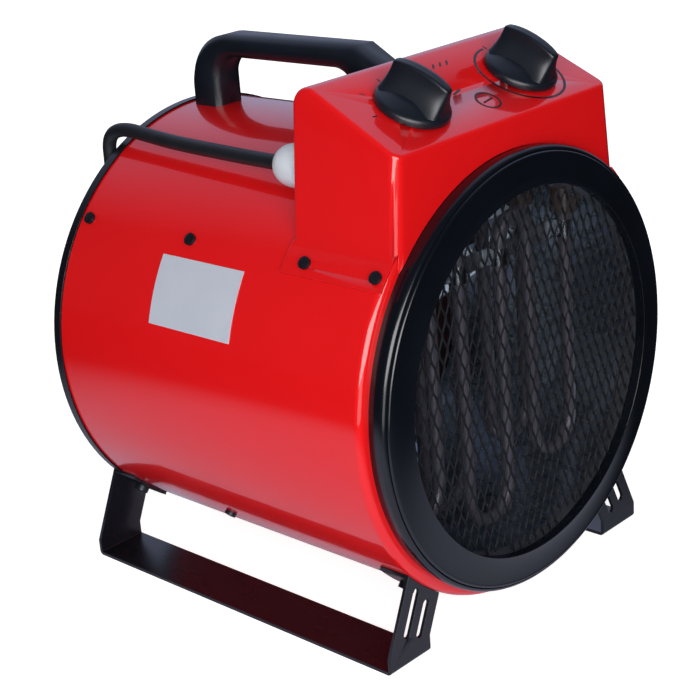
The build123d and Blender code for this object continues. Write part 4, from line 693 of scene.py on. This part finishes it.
# ---- plate ---------------------------------------------------------------------------------------------
# Rating plate stuck to the drum: bare silver polyester foil with square corners and nothing printed
# on it, its metal layer dulled by the film over it.
silver_foil = mottled("silver_polyester_foil", 20 * mm, "C2C7D2", "D2D6E0", Metallic=0.25, Roughness=0.32)
dress(silver_foil, "rating_plate")

# ---- floor ---------------------------------------------------------------------------------------------
# A table of white paper. The camera sees it white but for the shadow. To everything else its colour is a
# painted pool of light, pale and bluish near the heater and falling to black further off, as the gloss of
# the drum shows it.
table_reach = 6.0
painted_light_centre, painted_light_near, painted_light_far = (-0.2, 0.0, 0.0), 0.22, 0.5
glow_near, glow_far, glow_least = 0.35, 0.8, 0.82
floor_mesh = bpy.data.meshes.new("floor")
table_corners = [(x * table_reach, y * table_reach, 0) for x, y in ((-1, -1), (1, -1), (1, 1), (-1, 1))]
floor_mesh.from_pydata(table_corners, [], [(0, 1, 2, 3)])
floor = bpy.data.objects.new("floor", floor_mesh)
bpy.context.scene.collection.objects.link(floor)
paper = bpy.data.materials.new("white_table_with_painted_light_pool")
paper.use_nodes = True
paper.node_tree.nodes.clear()
place = node(paper, "TexCoord").outputs["Object"]
beside = node(paper, "VectorMath", {0: place, 1: painted_light_centre}, operation="SUBTRACT").outputs[0]
distance = node(paper, "VectorMath", {0: beside}, operation="LENGTH").outputs["Value"]
# Painted pool of light: the floor's colour falls from pale bluish to black with the distance from a point
# beside the heater.
fall = node(paper, "MapRange", {"Value": distance, "From Min": painted_light_near, "From Max": painted_light_far,
                                "To Min": 1.0, "To Max": 0.02}, interpolation_type="SMOOTHSTEP")
shade = node(paper, "Mix", {"Factor": fall.outputs[0], 6: (0, 0, 0, 1), 7: tone("E0E6FC")},
             data_type="RGBA")
room = node(paper, "BsdfDiffuse", {"Color": shade.outputs[2]})
lit = node(paper, "BsdfDiffuse", {"Color": tone("C8C8C8")})
even = node(paper, "MapRange", {"Value": distance, "From Min": glow_near, "From Max": glow_far,
                                "To Min": glow_least, "To Max": 1.0})
glow = node(paper, "Emission", {"Strength": even.outputs[0]})
table = node(paper, "AddShader", {0: lit.outputs[0], 1: glow.outputs[0]})
seen = node(paper, "LightPath").outputs["Is Camera Ray"]
choose = node(paper, "MixShader", {0: seen, 1: room.outputs[0], 2: table.outputs[0]})
node(paper, "OutputMaterial", {"Surface": choose.outputs[0]})
floor_mesh.materials.append(paper)

# ---- world and lamps -----------------------------------------------------------------------------------
# A white background to the camera, and an even soft light from all sides. The gloss mirrors a bluish
# window high at the back right, which fades with the angle to a dim room. A large soft lamp stands
# beside the camera, and a small one low at the front left shines up.
window = Vector((0.6, 0.52, 0.6)).normalized()
window_edge, window_middle, dim_room = 0.45, 0.98, 0.035
world = bpy.data.worlds.new("studio")
bpy.context.scene.world = world
world.use_nodes = True
world.node_tree.nodes.clear()
toward = node(world, "TexCoord").outputs["Generated"]
facing = node(world, "VectorMath", {0: toward, 1: window}, operation="DOT_PRODUCT").outputs["Value"]
bright = node(world, "MapRange", {"Value": facing, "From Min": window_edge, "From Max": window_middle,
                                  "To Min": dim_room, "To Max": 1.0})
sky = node(world, "Background", {"Color": tone("C0CCF0"), "Strength": bright.outputs[0]})
room_light = node(world, "Background", {"Color": tone("E6E8F0"), "Strength": 0.46})
white = node(world, "Background", {"Color": (1, 1, 1, 1), "Strength": 1.0})
seen = node(world, "LightPath").outputs
mirrored = node(world, "MixShader", {0: seen["Is Glossy Ray"], 1: room_light.outputs[0], 2: sky.outputs[0]})
choose = node(world, "MixShader", {0: seen["Is Camera Ray"], 1: mirrored.outputs[0], 2: white.outputs[0]})
node(world, "OutputWorld", {"Surface": choose.outputs[0]})


def softbox(name, place, target, width, height, power):
    """A rectangular lamp that looks at a target."""
    data = bpy.data.lights.new(name, "AREA")
    data.shape = "RECTANGLE"
    data.size, data.size_y, data.energy = width, height, power
    lamp = bpy.data.objects.new(name, data)
    bpy.context.scene.collection.objects.link(lamp)
    lamp.location = place
    lamp.rotation_euler = (Vector(target) - Vector(place)).to_track_quat("-Z", "Y").to_euler()
    lamp.visible_camera = False


softbox("key_softbox", (-1.1, -1.15, 0.6), (0, 0, 0.15), 1.5, 0.8, 29)
softbox("low_card", (-0.62, -0.62, 0.09), (-0.27, -0.27, 0.94), 0.5, 0.36, 1.3)
